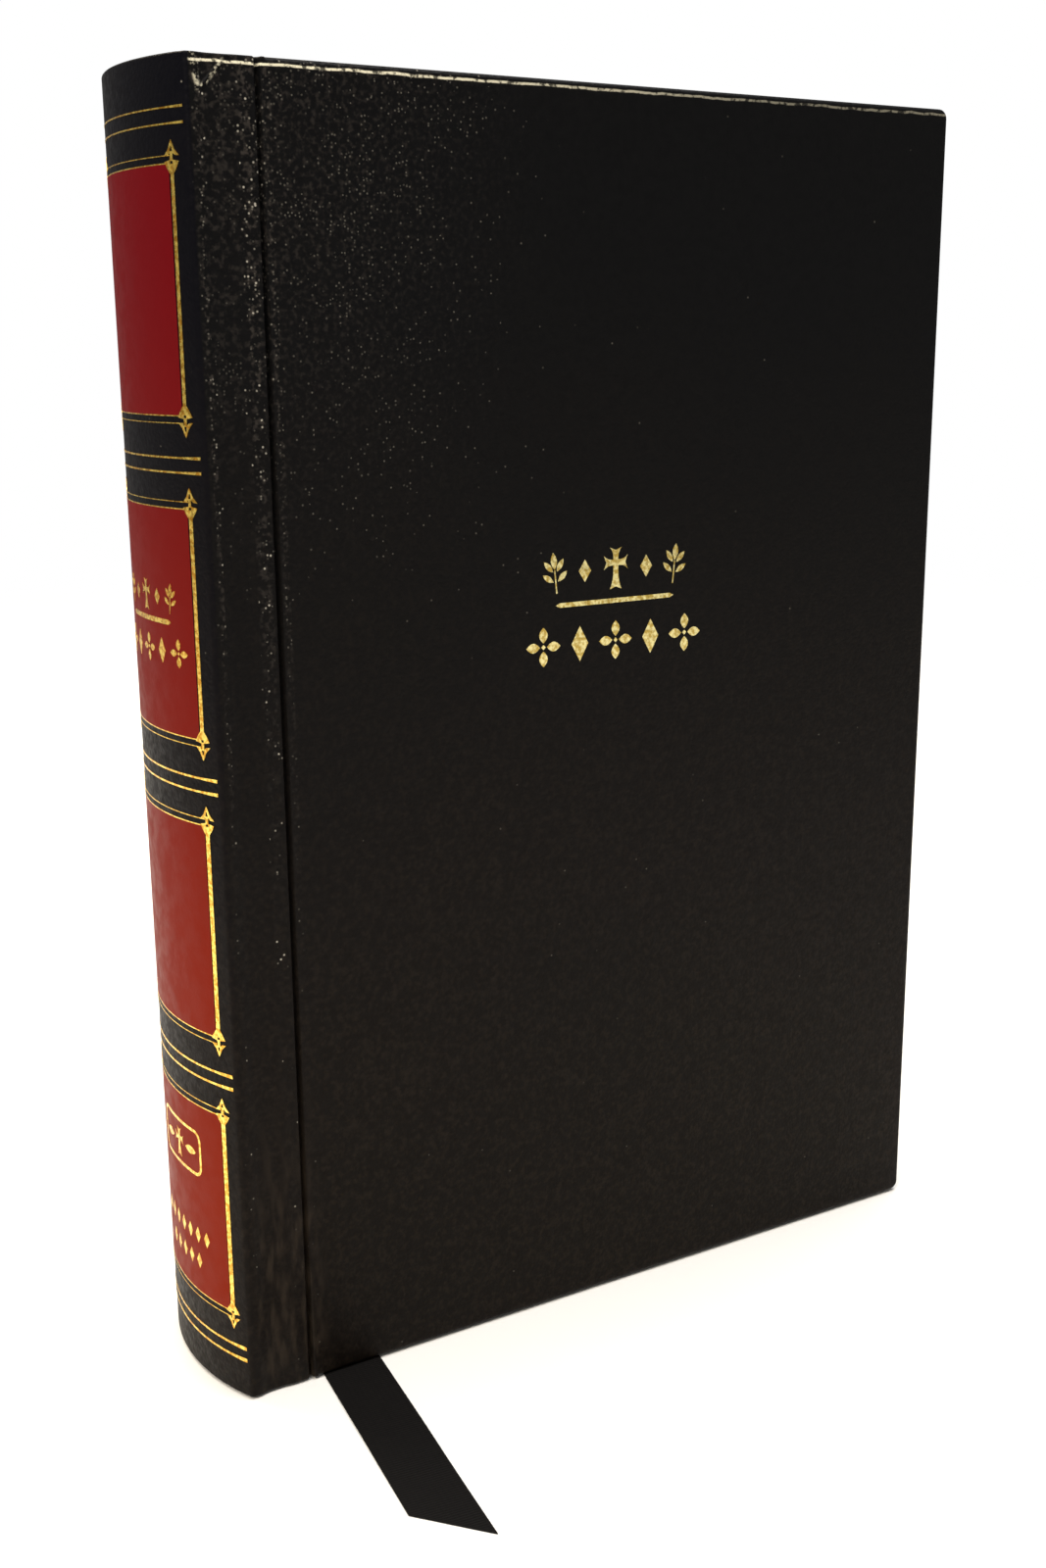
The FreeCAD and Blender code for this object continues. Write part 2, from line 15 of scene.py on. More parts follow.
import bmesh
import bpy
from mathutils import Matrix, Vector

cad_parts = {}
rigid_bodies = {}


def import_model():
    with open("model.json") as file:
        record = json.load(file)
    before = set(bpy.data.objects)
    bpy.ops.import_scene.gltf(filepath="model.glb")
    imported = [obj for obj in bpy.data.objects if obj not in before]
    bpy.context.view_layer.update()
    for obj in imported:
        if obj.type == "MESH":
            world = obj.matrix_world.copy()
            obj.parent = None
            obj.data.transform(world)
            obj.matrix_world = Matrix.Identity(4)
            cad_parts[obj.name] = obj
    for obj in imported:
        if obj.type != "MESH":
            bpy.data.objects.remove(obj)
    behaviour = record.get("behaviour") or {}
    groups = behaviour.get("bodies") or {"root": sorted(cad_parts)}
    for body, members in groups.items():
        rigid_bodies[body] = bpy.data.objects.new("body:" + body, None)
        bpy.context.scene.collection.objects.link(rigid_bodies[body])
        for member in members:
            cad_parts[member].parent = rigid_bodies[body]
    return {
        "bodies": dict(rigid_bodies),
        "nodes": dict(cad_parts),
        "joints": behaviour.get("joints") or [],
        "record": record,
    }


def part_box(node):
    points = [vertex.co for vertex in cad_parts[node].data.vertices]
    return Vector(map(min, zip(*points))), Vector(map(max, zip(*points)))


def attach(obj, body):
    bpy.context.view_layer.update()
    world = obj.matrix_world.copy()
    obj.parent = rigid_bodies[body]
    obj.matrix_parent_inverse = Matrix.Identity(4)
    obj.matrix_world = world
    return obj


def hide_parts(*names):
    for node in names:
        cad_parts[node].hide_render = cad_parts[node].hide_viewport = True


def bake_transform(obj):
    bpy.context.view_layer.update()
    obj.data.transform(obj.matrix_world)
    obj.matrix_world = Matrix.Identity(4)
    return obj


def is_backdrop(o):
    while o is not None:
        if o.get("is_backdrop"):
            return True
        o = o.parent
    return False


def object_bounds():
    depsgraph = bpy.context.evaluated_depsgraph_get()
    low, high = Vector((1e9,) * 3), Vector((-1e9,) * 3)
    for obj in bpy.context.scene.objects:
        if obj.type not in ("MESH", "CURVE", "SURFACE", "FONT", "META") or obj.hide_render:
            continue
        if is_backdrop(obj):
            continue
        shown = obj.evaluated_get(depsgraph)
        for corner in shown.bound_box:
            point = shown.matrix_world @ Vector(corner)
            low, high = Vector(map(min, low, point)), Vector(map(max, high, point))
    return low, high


LOG = logging.getLogger("bible")
MM = 0.001
REST = "rest_place"
WELD = 1e-7
SMOOTH_BELOW = 32.0
QUARTER = math.pi / 2

Point2 = tuple[float, float]
Outline = list[Point2]
Station = tuple[float, float, float, float]


class Side(Enum):
    """Which cover a piece belongs to, with the sign of its Y."""

    FRONT = -1
    BACK = 1

    @property
    def word(self) -> str:
        """The side's name as the nodes and bodies spell it."""
        return self.name.lower()


# ---------------------------------------------------------------- nodes and finishes


def linear(code: str) -> tuple[float, float, float, float]:
    """Turns an sRGB hex colour to a linear one.

    Args:
        code: six hex digits.

    Returns:
        Linear red, green and blue, and an alpha of 1.
    """
    channels = [int(code[i:i + 2], 16) / 255 for i in (0, 2, 4)]
    red, green, blue = [c / 12.92 if c <= 0.04045 else ((c + 0.055) / 1.055) ** 2.4 for c in channels]
    return red, green, blue, 1.0


def add_node(tree: bpy.types.NodeTree, kind: str, inputs: Optional[dict[Any, Any]] = None,
             **settings: Any) -> bpy.types.Node:
    """Adds a node with its settings, values and links.

    Args:
        tree: the node tree.
        kind: the node's type.
        inputs: socket name or number to a value, or to the output socket that feeds it.
        settings: attributes of the node.

    Returns:
        The new node.
    """
    node = tree.nodes.new(kind)
    for name, value in settings.items():
        setattr(node, name, value)
    for name, value in (inputs or {}).items():
        if isinstance(value, bpy.types.NodeSocket):
            tree.links.new(value, node.inputs[name])
        else:
            node.inputs[name].default_value = value
    return node


class Pattern:
    """One material under construction: its tree, its coordinates and the shader that it ends in."""

    def __init__(self, name: str, follows: bool = False) -> None:
        """Starts an empty material.

        Args:
            name: the material's name.
            follows: whether its pattern stays with a piece that bends, through the piece's REST attribute.
        """
        self.material = bpy.data.materials.new(name)
        self.material.use_nodes = True
        self.tree = self.material.node_tree
        self.tree.nodes.clear()
        self.place = add_node(self.tree, "ShaderNodeTexCoord")
        self.spot = self.place.outputs["Object"]
        if follows:
            self.spot = add_node(self.tree, "ShaderNodeAttribute", attribute_name=REST).outputs["Vector"]
        axes = add_node(self.tree, "ShaderNodeSeparateXYZ", {0: self.spot})
        self.x, self.y, self.z = (axes.outputs[axis] for axis in "XYZ")

    def math(self, operation: str, *values: Any, clamp: bool = False) -> bpy.types.NodeSocket:
        """A sum on numbers or sockets.

        Args:
            operation: the Math node's operation.
            values: its operands.
            clamp: whether the result is held between 0 and 1.

        Returns:
            The result's socket.
        """
        return add_node(self.tree, "ShaderNodeMath", dict(enumerate(values)), operation=operation,
                        use_clamp=clamp).outputs[0]

    def times(self, *factors: Any) -> bpy.types.NodeSocket:
        """The product of numbers or sockets."""
        return reduce(lambda product, factor: self.math("MULTIPLY", product, factor), factors)

    def noise(self, size: float, detail: float = 2.0,
              stretch: Sequence[float] = (1, 1, 1)) -> bpy.types.NodeSocket:
        """Soft noise.

        Args:
            size: its grain in metres.
            detail: octaves.
            stretch: how many times the grain repeats along each axis, against an even one.

        Returns:
            Its value, from 0 to 1.
        """
        scaled = add_node(self.tree, "ShaderNodeMapping", {"Vector": self.spot, "Scale": stretch})
        return add_node(self.tree, "ShaderNodeTexNoise", {"Vector": scaled.outputs[0], "Scale": 1 / size,
                                                          "Detail": detail}).outputs[0]

    def cells(self, size: float) -> bpy.types.Node:
        """A Voronoi pattern with cells of this size in metres."""
        return add_node(self.tree, "ShaderNodeTexVoronoi", {"Vector": self.spot, "Scale": 1 / size})

    def step(self, value: Any, low: float, high: float, out_low: float = 0.0,
             out_high: float = 1.0) -> bpy.types.NodeSocket:
        """Maps a value smoothly from one span to another, held at both ends.

        Args:
            value: the value's socket.
            low: where the span starts.
            high: where it ends.
            out_low: the result at low.
            out_high: the result at high.

        Returns:
            The result's socket.
        """
        node = add_node(self.tree, "ShaderNodeMapRange", {0: value, 1: low, 2: high, 3: out_low, 4: out_high},
                        interpolation_type="SMOOTHSTEP")
        return node.outputs[0]

    def mix(self, share: Any, first: Any, second: Any) -> bpy.types.NodeSocket:
        """Mixes two colours.

        Args:
            share: how much of the second.
            first: a hex colour or a socket.
            second: a hex colour or a socket.

        Returns:
            The mixed colour's socket.
        """
        ends = [linear(c) if isinstance(c, str) else c for c in (first, second)]
        node = add_node(self.tree, "ShaderNodeMix", {0: share, 6: ends[0], 7: ends[1]}, data_type="RGBA")
        return node.outputs[2]

    def bump(self, height: Any, depth: float, strength: float = 1.0,
             under: Any = None) -> bpy.types.NodeSocket:
        """A bump, on top of another bump's normal where there is one.

        Args:
            height: its height, from 0 to 1.
            depth: how deep that is, in metres.
            strength: how strongly it shows.
            under: the other bump's normal.

        Returns:
            The normal's socket.
        """
        inputs = {"Height": height, "Distance": depth, "Strength": strength}
        if under is not None:
            inputs["Normal"] = under
        return add_node(self.tree, "ShaderNodeBump", inputs).outputs[0]

    def shade(self, **sockets: Any) -> bpy.types.Material:
        """Ends the material in one shader.

        Args:
            sockets: the shader's sockets by name, with _ for a space.

        Returns:
            The finished material.
        """
        inputs = {name.replace("_", " "): value for name, value in sockets.items()}
        shader = add_node(self.tree, "ShaderNodeBsdfPrincipled", inputs)
        add_node(self.tree, "ShaderNodeOutputMaterial", {"Surface": shader.outputs[0]})
        return self.material


@dataclass(frozen=True)
class Leathercloth:
    """Black leathercloth: vinyl skin embossed with a fine pebble and calendered on to cloth.

    To the eye it is a soft black, cooler high up and browner near the table, with a low sheen that breaks
    up into pinpoints where single pebbles catch the light. All of this is painted into the colour: the
    browner black low down is a painted reflection of the floor, the darker round spine is painted shade,
    and the sheen, the head edge's bright line and the pinpoints are painted highlights.
    """

    # The black high up, and the browner black near the table, which paints in the floor's reflection.
    high: str = "0c0c0d"
    low: str = "110d0a"
    # A lighter brown for the mottle and the streaks low down.
    scuffed: str = "2a231c"
    # A darker, bluer black for the round spine: painted shade on the same cloth.
    spine: str = "06060c"
    # Colour of the painted sheen near the top and along the hinge.
    haze: str = "322e2b"
    glint: str = "c6bfb0"
    # Colour of the painted highlight along the head edge and on the fold.
    polish: str = "f3ebcf"
    pebble: float = 0.55 * MM
    pore: float = 0.16 * MM
    glint_pitch: float = 0.5 * MM
    glint_radius: float = 0.42
    stray_glints: float = 0.0012
    # How far under the top the painted edge highlight lies, and how much it wavers.
    rubbed_below: float = 0.95 * MM
    rubbed_waver: float = 0.5 * MM
    # Lines of painted highlight along the hinge: distance from the ridge, width and strength, in millimetres
    # and shares.
    hinge_lines: tuple[tuple[float, float, float], ...] = ((1.4, 0.6, 0.6), (7.9, 1.5, 0.5), (10.9, 0.7, 0.5))
    face: float = 15.7 * MM
    head: float = 190 * MM
    ridge: float = -62.7 * MM
    roughness: Point2 = (0.4, 0.58)

    def near_top(self, p: Pattern) -> bpy.types.NodeSocket:
        """1 at the top of the front beside the spine, fading down and outwards.

        Args:
            p: the material under construction.

        Returns:
            The share's socket.
        """
        high = p.step(p.z, self.head * 0.58, self.head * 0.98)
        near = p.step(p.x, self.ridge + 58 * MM, self.ridge + 8 * MM)
        return p.times(high, near, self.on_front(p))

    def on_front(self, p: Pattern) -> bpy.types.NodeSocket:
        """1 on the front face and its edges, 0 on the round spine and the back."""
        return p.times(p.step(p.y, 2.5 * MM - self.face, 1.5 * MM - self.face),
                       p.step(p.x, self.ridge + 0.3 * MM, self.ridge + 0.7 * MM))

    def along_hinge(self, p: Pattern) -> bpy.types.NodeSocket:
        """The share of painted highlight along the creased lines of the hinge, brightest at the head.

        Args:
            p: the material under construction.

        Returns:
            The share's socket.
        """
        fade = p.step(p.z, self.head * 0.3, self.head * 0.95, 0.06, 1.0)
        total: Any = 0.0
        for at, width, gain in self.hinge_lines:
            off = p.math("ABSOLUTE", p.math("SUBTRACT", p.x, self.ridge + at * MM))
            line = p.step(off, width * MM, width * MM * 0.4)
            total = p.math("MAXIMUM", total, p.times(line, gain))
        return p.times(total, fade, self.on_front(p))

    def scuffs(self, p: Pattern) -> bpy.types.NodeSocket:
        """Where lighter streaks run up and down the joint near its foot.

        Args:
            p: the material under construction.

        Returns:
            The share's socket, 1 on the joint's lower end.
        """
        return p.times(p.step(p.x, self.ridge + 0.8 * MM, self.ridge + 2 * MM),
                       p.step(p.x, self.ridge + 14 * MM, self.ridge + 10 * MM),
                       p.step(p.z, self.head * 0.3, self.head * 0.08))

    def glint_share(self, p: Pattern, near_top: bpy.types.NodeSocket,
                    hinge: bpy.types.NodeSocket) -> bpy.types.NodeSocket:
        """How likely a pebble is to shine: most near the ridge, the hinge and the cover's top.

        Args:
            p: the material under construction.
            near_top: what near_top() gave.
            hinge: what along_hinge() gave.

        Returns:
            The chance's socket.
        """
        cloud = p.step(p.noise(7 * MM, 1.0), 0.4, 0.62)
        share = p.times(near_top, p.math("MULTIPLY_ADD", cloud, 0.5, 0.12))
        return p.math("ADD", p.math("MAXIMUM", share, hinge), self.stray_glints)

    def wrinkle(self, p: Pattern) -> bpy.types.NodeSocket:
        """The pinched fold of the turn-in beside the ridge at the head, as a V.

        Args:
            p: the material under construction.

        Returns:
            A socket that is 1 along the V's two arms.
        """
        foot_x, foot_z = self.ridge + 1.7 * MM, self.head - 4.7 * MM
        rise = p.math("SUBTRACT", p.z, foot_z)
        right = p.math("SUBTRACT", p.x, p.math("MULTIPLY_ADD", rise, 0.9, foot_x))
        left = p.math("SUBTRACT", p.x, p.math("MULTIPLY_ADD", rise, -0.18, foot_x))
        near = p.math("MINIMUM", p.math("ABSOLUTE", right), p.math("ABSOLUTE", left))
        arms = p.step(near, 0.6 * MM, 0.15 * MM)
        above = p.step(rise, -0.3 * MM, 0.4 * MM)
        beside = p.step(p.x, self.ridge + 5.6 * MM, self.ridge + 4.4 * MM)
        return p.times(arms, p.times(above, beside), self.on_front(p))

    def rubbed(self, p: Pattern) -> bpy.types.NodeSocket:
        """Where a painted highlight lies along the head edge of the front, broken up and fading to the
        fore-edge, and along the arms of the pinched fold.

        Args:
            p: the material under construction.

        Returns:
            The share's socket.
        """
        # Painted highlight along the rounded head edge, where it faces the light.
        middle = self.head - self.rubbed_below - self.rubbed_waver / 2
        uneven = p.math("MULTIPLY_ADD", p.noise(3 * MM, 2.0), self.rubbed_waver, middle)
        off = p.math("ABSOLUTE", p.math("SUBTRACT", p.z, uneven))
        line = p.step(off, 0.24 * MM, 0.08 * MM)
        along = p.step(p.x, self.ridge + 12 * MM, self.ridge + 100 * MM, 1.0, 0.2)
        broken = p.step(p.noise(0.7 * MM, 2.0), 0.34, 0.54, 0.1, 0.95)
        edge = p.times(p.times(line, self.on_front(p)), p.times(along, broken))
        # Painted highlight along the arms of the pinched fold.
        fold = p.times(self.wrinkle(p), p.step(p.noise(0.8 * MM, 2.0), 0.5, 0.64))
        return p.math("MAXIMUM", edge, p.times(fold, 0.55))

    def grain(self, p: Pattern) -> bpy.types.NodeSocket:
        """The pebbled skin.

        Args:
            p: the material under construction.

        Returns:
            The normal's socket.
        """
        pebbles = p.cells(self.pebble).outputs["Distance"]
        rounded = p.math("SUBTRACT", 1.0, p.math("POWER", pebbles, 1.6))
        folded = p.bump(self.wrinkle(p), 0.3 * MM, 0.8)
        coarse = p.bump(rounded, 0.045 * MM, 0.75, folded)
        return p.bump(p.noise(self.pore, 3.0), 0.012 * MM, 0.6, coarse)

    def skin(self, p: Pattern, near_top: bpy.types.NodeSocket,
             hinge: bpy.types.NodeSocket) -> bpy.types.NodeSocket:
        """The cloth's colour with its painted floor reflection, sheen and spine shade, without the painted
        glints and head-edge highlight.

        Args:
            p: the material under construction.
            near_top: what near_top() gave.
            hinge: what along_hinge() gave.

        Returns:
            The colour's socket.
        """
        clouds = p.math("MULTIPLY_ADD", p.noise(42 * MM, 2.0), 0.35, -0.17)
        # Painted reflection of the floor: browner and lighter towards the table, broken by clouds.
        floor_reflection_share = p.math("ADD", p.step(p.z, self.head * 0.92, self.head * 0.05), clouds, clamp=True)
        # Painted shade: the round spine is darker and bluer than the front.
        top = p.mix(p.step(p.x, self.ridge + 0.7 * MM, self.ridge + 0.2 * MM), self.high, self.spine)
        mottle = p.step(p.noise(0.75 * MM, 2.0), 0.46, 0.72)
        # Painted sheen, mottled, near the top and along the hinge.
        sheen_share = p.math("MAXIMUM", p.times(near_top, 0.55), p.times(hinge, 2.0), clamp=True)
        felt = p.step(p.noise(0.8 * MM, 3.0), 0.4, 0.78, 0.0, 0.45)
        streak = p.times(self.scuffs(p), p.step(p.noise(1.2 * MM, 3.0, (1, 1, 0.25)), 0.4, 0.7))
        low = p.mix(p.math("MAXIMUM", felt, streak), self.low, self.scuffed)
        return p.mix(p.times(sheen_share, mottle), p.mix(floor_reflection_share, top, low), self.haze)

    def shine(self, p: Pattern, near_top: bpy.types.NodeSocket,
              hinge: bpy.types.NodeSocket) -> bpy.types.NodeSocket:
        """The pinpoints where single pebbles catch the light.

        Args:
            p: the material under construction.
            near_top: what near_top() gave.
            hinge: what along_hinge() gave.

        Returns:
            The pinpoints' share of the colour.
        """
        spots = p.cells(self.glint_pitch)
        chances = add_node(p.tree, "ShaderNodeSeparateColor", {0: spots.outputs["Color"]})
        lucky = p.math("LESS_THAN", chances.outputs[0], self.glint_share(p, near_top, hinge))
        strength = p.math("MULTIPLY_ADD", p.math("POWER", chances.outputs[1], 7.0), 0.7, 0.06)
        spot = p.step(spots.outputs["Distance"], self.glint_radius, self.glint_radius * 0.3)
        return p.times(spot, lucky, strength)

    def material(self) -> bpy.types.Material:
        """Builds the material.

        Returns:
            The finished material.
        """
        p = Pattern("embossed_leathercloth", follows=True)
        near_top, hinge = self.near_top(p), self.along_hinge(p)
        base, shine = self.skin(p, near_top, hinge), self.shine(p, near_top, hinge)
        # Painted highlights: glints on single pebbles, and the bright line of the head edge and fold.
        colour = p.mix(self.rubbed(p), p.mix(shine, base, self.glint), self.polish)
        rough = p.step(p.noise(1.1 * MM, 3.0), 0.3, 0.7, *self.roughness)
        return p.shade(Base_Color=colour, Roughness=rough, Specular_IOR_Level=0.06, Normal=self.grain(p))


@dataclass(frozen=True)
class PigmentFoil:
    """Red pigment foil: a film of red lacquer hot-stamped on to the leathercloth.

    It is an even, slightly glossy red through which the pebble still shows, deeper at the head and a
    warmer brick red towards the table, where light from the floor is painted into the colour.
    """

    # The red high up, and the warmer red near the table, which paints in light from the floor.
    high: str = "62070f"
    low: str = "7c1f07"
    worn: str = "3a0a0b"
    head: float = 190 * MM
    pebble: float = 0.55 * MM

    def material(self) -> bpy.types.Material:
        """Builds the material.

        Returns:
            The finished material.
        """
        p = Pattern("stamped_pigment_foil")
        # Painted light: warmer towards the table.
        share = p.step(p.z, self.head * 0.95, self.head * 0.12)
        base = p.mix(share, self.high, self.low)
        worn = p.step(p.noise(0.35 * MM, 3.0), 0.66, 0.82, 0.0, 0.5)
        colour = p.mix(worn, base, self.worn)
        grain = p.bump(p.cells(self.pebble).outputs["Distance"], 0.03 * MM, 0.35)
        rough = p.step(p.noise(2.5 * MM, 2.0), 0.3, 0.7, 0.4, 0.55)
        return p.shade(Base_Color=colour, Roughness=rough, Specular_IOR_Level=0.04, Normal=grain)


@dataclass(frozen=True)
class GoldFoil:
    """Imitation gold foil: vacuum-metallised film hot-stamped over the grain.

    It flashes from lemon to old gold as the pebble tips it, with pinholes where the grain was too deep.
    """

    name: str = "stamped_gold_foil"
    bright: str = "ffdf72"
    deep: str = "cf9632"
    pinhole: str = "2a2110"

    def material(self) -> bpy.types.Material:
        """Builds the material.

        Returns:
            The finished material.
        """
        p = Pattern(self.name)
        tone = p.mix(p.step(p.noise(0.6 * MM, 2.0), 0.35, 0.65), self.bright, self.deep)
        holes = p.step(p.noise(0.22 * MM, 2.0), 0.7, 0.8)
        colour = p.mix(holes, tone, self.pinhole)
        metal = p.math("SUBTRACT", 1.0, holes)
        rough = p.step(p.noise(0.8 * MM, 2.0), 0.3, 0.7, 0.24, 0.42)
        grain = p.bump(p.noise(0.6 * MM, 2.0), 0.02 * MM, 0.4)
        return p.shade(Base_Color=colour, Metallic=metal, Roughness=rough, Normal=grain)


@dataclass(frozen=True)
class BiblePaper:
    """Bible paper: very thin rag and titanium-filled sheet. In a block its cut edges make fine lines."""

    light: str = "d9ceb5"
    dark: str = "a39370"
    ink: str = "4a4641"
    printed: bool = False
    line_pitch: float = 1.25 * MM
    page_middle: float = 95 * MM
    page_half: float = 82 * MM
    column_middles: Point2 = (-18 * MM, 33 * MM)
    column_half: float = 23 * MM

    def columns(self, p: Pattern) -> bpy.types.NodeSocket:
        """Where lines of small grey type would lie, as plain bars in two columns with uneven ends.

        Args:
            p: the material under construction.

        Returns:
            A socket that is 1 on a bar.
        """
        line = p.step(p.math("PINGPONG", p.z, self.line_pitch), 0.62 * MM, 0.78 * MM)
        words = p.step(p.noise(2.6 * MM, 1.0, (1, 1, 2.2)), 0.36, 0.42)
        page = p.math("COMPARE", p.z, self.page_middle, self.page_half)
        left, right = (p.math("COMPARE", p.x, at, self.column_half) for at in self.column_middles)
        return p.times(line, words, p.times(p.math("ADD", left, right), page))

    def material(self) -> bpy.types.Material:
        """Builds the material.

        Returns:
            The finished material.
        """
        p = Pattern("printed_bible_paper" if self.printed else "bible_paper", follows=True)
        sheets = p.noise(0.5 * MM, 3.0, (0.0005, 5.0, 0.0005))
        fibre = p.noise(0.7 * MM, 3.0)
        colour = p.mix(p.step(sheets, 0.42, 0.72), self.light, self.dark)
        if self.printed:
            toned = p.mix(p.step(fibre, 0.3, 0.8, 0.0, 0.3), self.light, self.dark)
            colour = p.mix(p.times(self.columns(p), 0.6), toned, self.ink)
        normal = p.bump(fibre if self.printed else sheets, 0.02 * MM, 0.35)
        rough = p.step(fibre, 0.3, 0.7, 0.78, 0.92)
        return p.shade(Base_Color=colour, Roughness=rough, Specular_IOR_Level=0.25, Normal=normal)


@dataclass(frozen=True)
class FibrePaper:
    """Pulp sheet or board: felted fibres, matt, flecked where the stock is coarse."""

    name: str
    light: str
    dark: str
    fibre: float
    depth: float
    flecks: Point2 = (0.4, 0.75)
    follows: bool = False

    def material(self) -> bpy.types.Material:
        """Builds the material.

        Returns:
            The finished material.
        """
        p = Pattern(self.name, self.follows)
        felt = p.noise(self.fibre, 4.0, (0.35, 1.0, 1.0))
        colour = p.mix(p.step(felt, *self.flecks), self.light, self.dark)
        normal = p.bump(felt, self.depth, 0.6)
        rough = p.step(felt, 0.3, 0.7, 0.78, 0.95)
        return p.shade(Base_Color=colour, Roughness=rough, Specular_IOR_Level=0.25, Normal=normal)


class Lay(Enum):
    """How the threads of a woven finish show."""

    OPEN = "open gauze"
    SATIN = "long floats across a ribbon with its own map"
    FLAT_SATIN = "the same where the ribbon lies in the middle plane"
    TWIST = "wound thread"


@dataclass(frozen=True)
class Woven:
    """Woven or wound thread: rows of threads that catch the light along their length."""

    name: str
    light: str
    dark: str
    pitch: float
    lay: Lay
    sheen: float

    def material(self) -> bpy.types.Material:
        """Builds the material.

        Returns:
            The finished material.
        """
        p = Pattern(self.name)
        if self.lay is Lay.SATIN:
            uv = add_node(p.tree, "ShaderNodeSeparateXYZ", {0: p.place.outputs["UV"]})
            across, along = uv.outputs["X"], uv.outputs["Y"]
        elif self.lay is Lay.FLAT_SATIN:
            across, along = p.x, p.z
        else:
            across, along = p.y, p.z
        rows = p.math("SINE", p.times(along, 2 * math.pi / self.pitch))
        ranks = p.math("SINE", p.times(across, 2 * math.pi / (self.pitch * 1.7)))
        share = 0.25 if self.lay in (Lay.SATIN, Lay.FLAT_SATIN) else 1.0
        weave = p.math("MULTIPLY_ADD", p.math("MULTIPLY_ADD", ranks, share, rows), 0.25, 0.5)
        fuzz = p.math("MULTIPLY_ADD", p.noise(self.pitch * 2, 3.0), 0.4, weave)
        colour = p.mix(p.step(fuzz, 0.3, 1.1), self.dark, self.light)
        normal = p.bump(weave, self.pitch * 0.3, 0.6)
        rough = p.step(fuzz, 0.3, 1.1, 0.75, 0.52)
        return p.shade(Base_Color=colour, Roughness=rough, Specular_IOR_Level=0.12, Sheen_Weight=self.sheen,
                       Sheen_Roughness=0.4, Normal=normal)


@dataclass(frozen=True)
class DriedGlue:
    """Dried hot-melt adhesive: waxy, yellowish and slightly translucent, with brush ripples."""

    light: str = "d9cfae"
    dark: str = "bba877"

    def material(self) -> bpy.types.Material:
        """Builds the material.

        Returns:
            The finished material.
        """
        p = Pattern("dried_binding_glue")
        ripple = p.noise(3 * MM, 3.0, (1, 1, 0.3))
        colour = p.mix(p.step(ripple, 0.3, 0.7), self.light, self.dark)
        rough = p.step(ripple, 0.3, 0.7, 0.3, 0.5)
        return p.shade(Base_Color=colour, Roughness=rough, Subsurface_Weight=0.15, Subsurface_Scale=0.5 * MM,
                       Normal=p.bump(ripple, 0.1 * MM, 0.5))


class Finishes:
    """Every finish of the book, made once."""

    def __init__(self) -> None:
        """Builds the materials."""
        self.cloth = Leathercloth().material()
        self.red = PigmentFoil().material()
        self.gold = GoldFoil().material()
        self.pale_gold = GoldFoil("stamped_lemon_gold_foil", "fff2ae", "c8ab56").material()
        self.paper = BiblePaper().material()
        self.page = BiblePaper(printed=True).material()
        # Uncoated endpaper: a stout white wove sheet with a faint tooth.
        self.endpaper = FibrePaper("wove_endpaper", "e2dac8", "d2c8b2", 0.5 * MM, 0.015 * MM,
                                    follows=True).material()
        # Grey board: pressed waste pulp, dull grey-brown with darker flecks.
        self.board = FibrePaper("grey_binders_board", "968b7b", "5f564a", 0.8 * MM, 0.05 * MM).material()
        # Kraft: brown unbleached sheet, its fibres along the height.
        self.kraft = FibrePaper("kraft_lining", "a8835a", "80603d", 0.6 * MM, 0.03 * MM).material()
        self.mull = Woven("starched_mull", "e4dfcf", "9a927e", 1.4 * MM, Lay.OPEN, 0.1).material()
        self.glue = DriedGlue().material()
        self.thread = Woven("waxed_sewing_thread", "ece7d8", "b8b09b", 0.3 * MM, Lay.TWIST, 0.1).material()
        self.silk_red = Woven("red_band_silk", "9a1c20", "4e0a0e", 0.22 * MM, Lay.TWIST, 0.3).material()
        self.silk_gold = Woven("gold_band_silk", "d9b45c", "8a672a", 0.22 * MM, Lay.TWIST, 0.3).material()
        # Rayon satin: threads of 0.25 mm are drawn at 0.5 mm, as fine as they can show.
        self.satin = Woven("black_rayon_satin", "131110", "070606", 0.5 * MM, Lay.SATIN, 0.01).material()
        self.flat_satin = Woven("black_rayon_satin_inside", "131110", "070606", 0.5 * MM, Lay.FLAT_SATIN,
                                0.01).material()


# ---------------------------------------------------------------- mesh building


def evenly(low: float, high: float, count: int) -> list[float]:
    """Values from low to high in count equal steps, with both ends."""
    return [low + (high - low) * i / count for i in range(count + 1)]


def ease(at: float, low: float, high: float) -> float:
    """A smooth step from 0 at low to 1 at high."""
    t = min(1.0, max(0.0, (at - low) / (high - low)))
    return t * t * (3 - 2 * t)


def new_piece(name: str, mesh: bpy.types.Mesh, *materials: bpy.types.Material) -> bpy.types.Object:
    """Links a mesh into the scene as a piece.

    Args:
        name: the piece's name.
        mesh: its mesh, in place.
        materials: its material slots.

    Returns:
        The new object.
    """
    piece = bpy.data.objects.new(name, mesh)
    bpy.context.scene.collection.objects.link(piece)
    mesh.materials.clear()
    for material in materials:
        mesh.materials.append(material)
    places = [0.0] * (3 * len(mesh.vertices))
    mesh.vertices.foreach_get("co", places)
    mesh.attributes.new(REST, "FLOAT_VECTOR", "POINT").data.foreach_set("vector", places)
    LOG.info("%s: %d faces", name, len(mesh.polygons))
    return piece


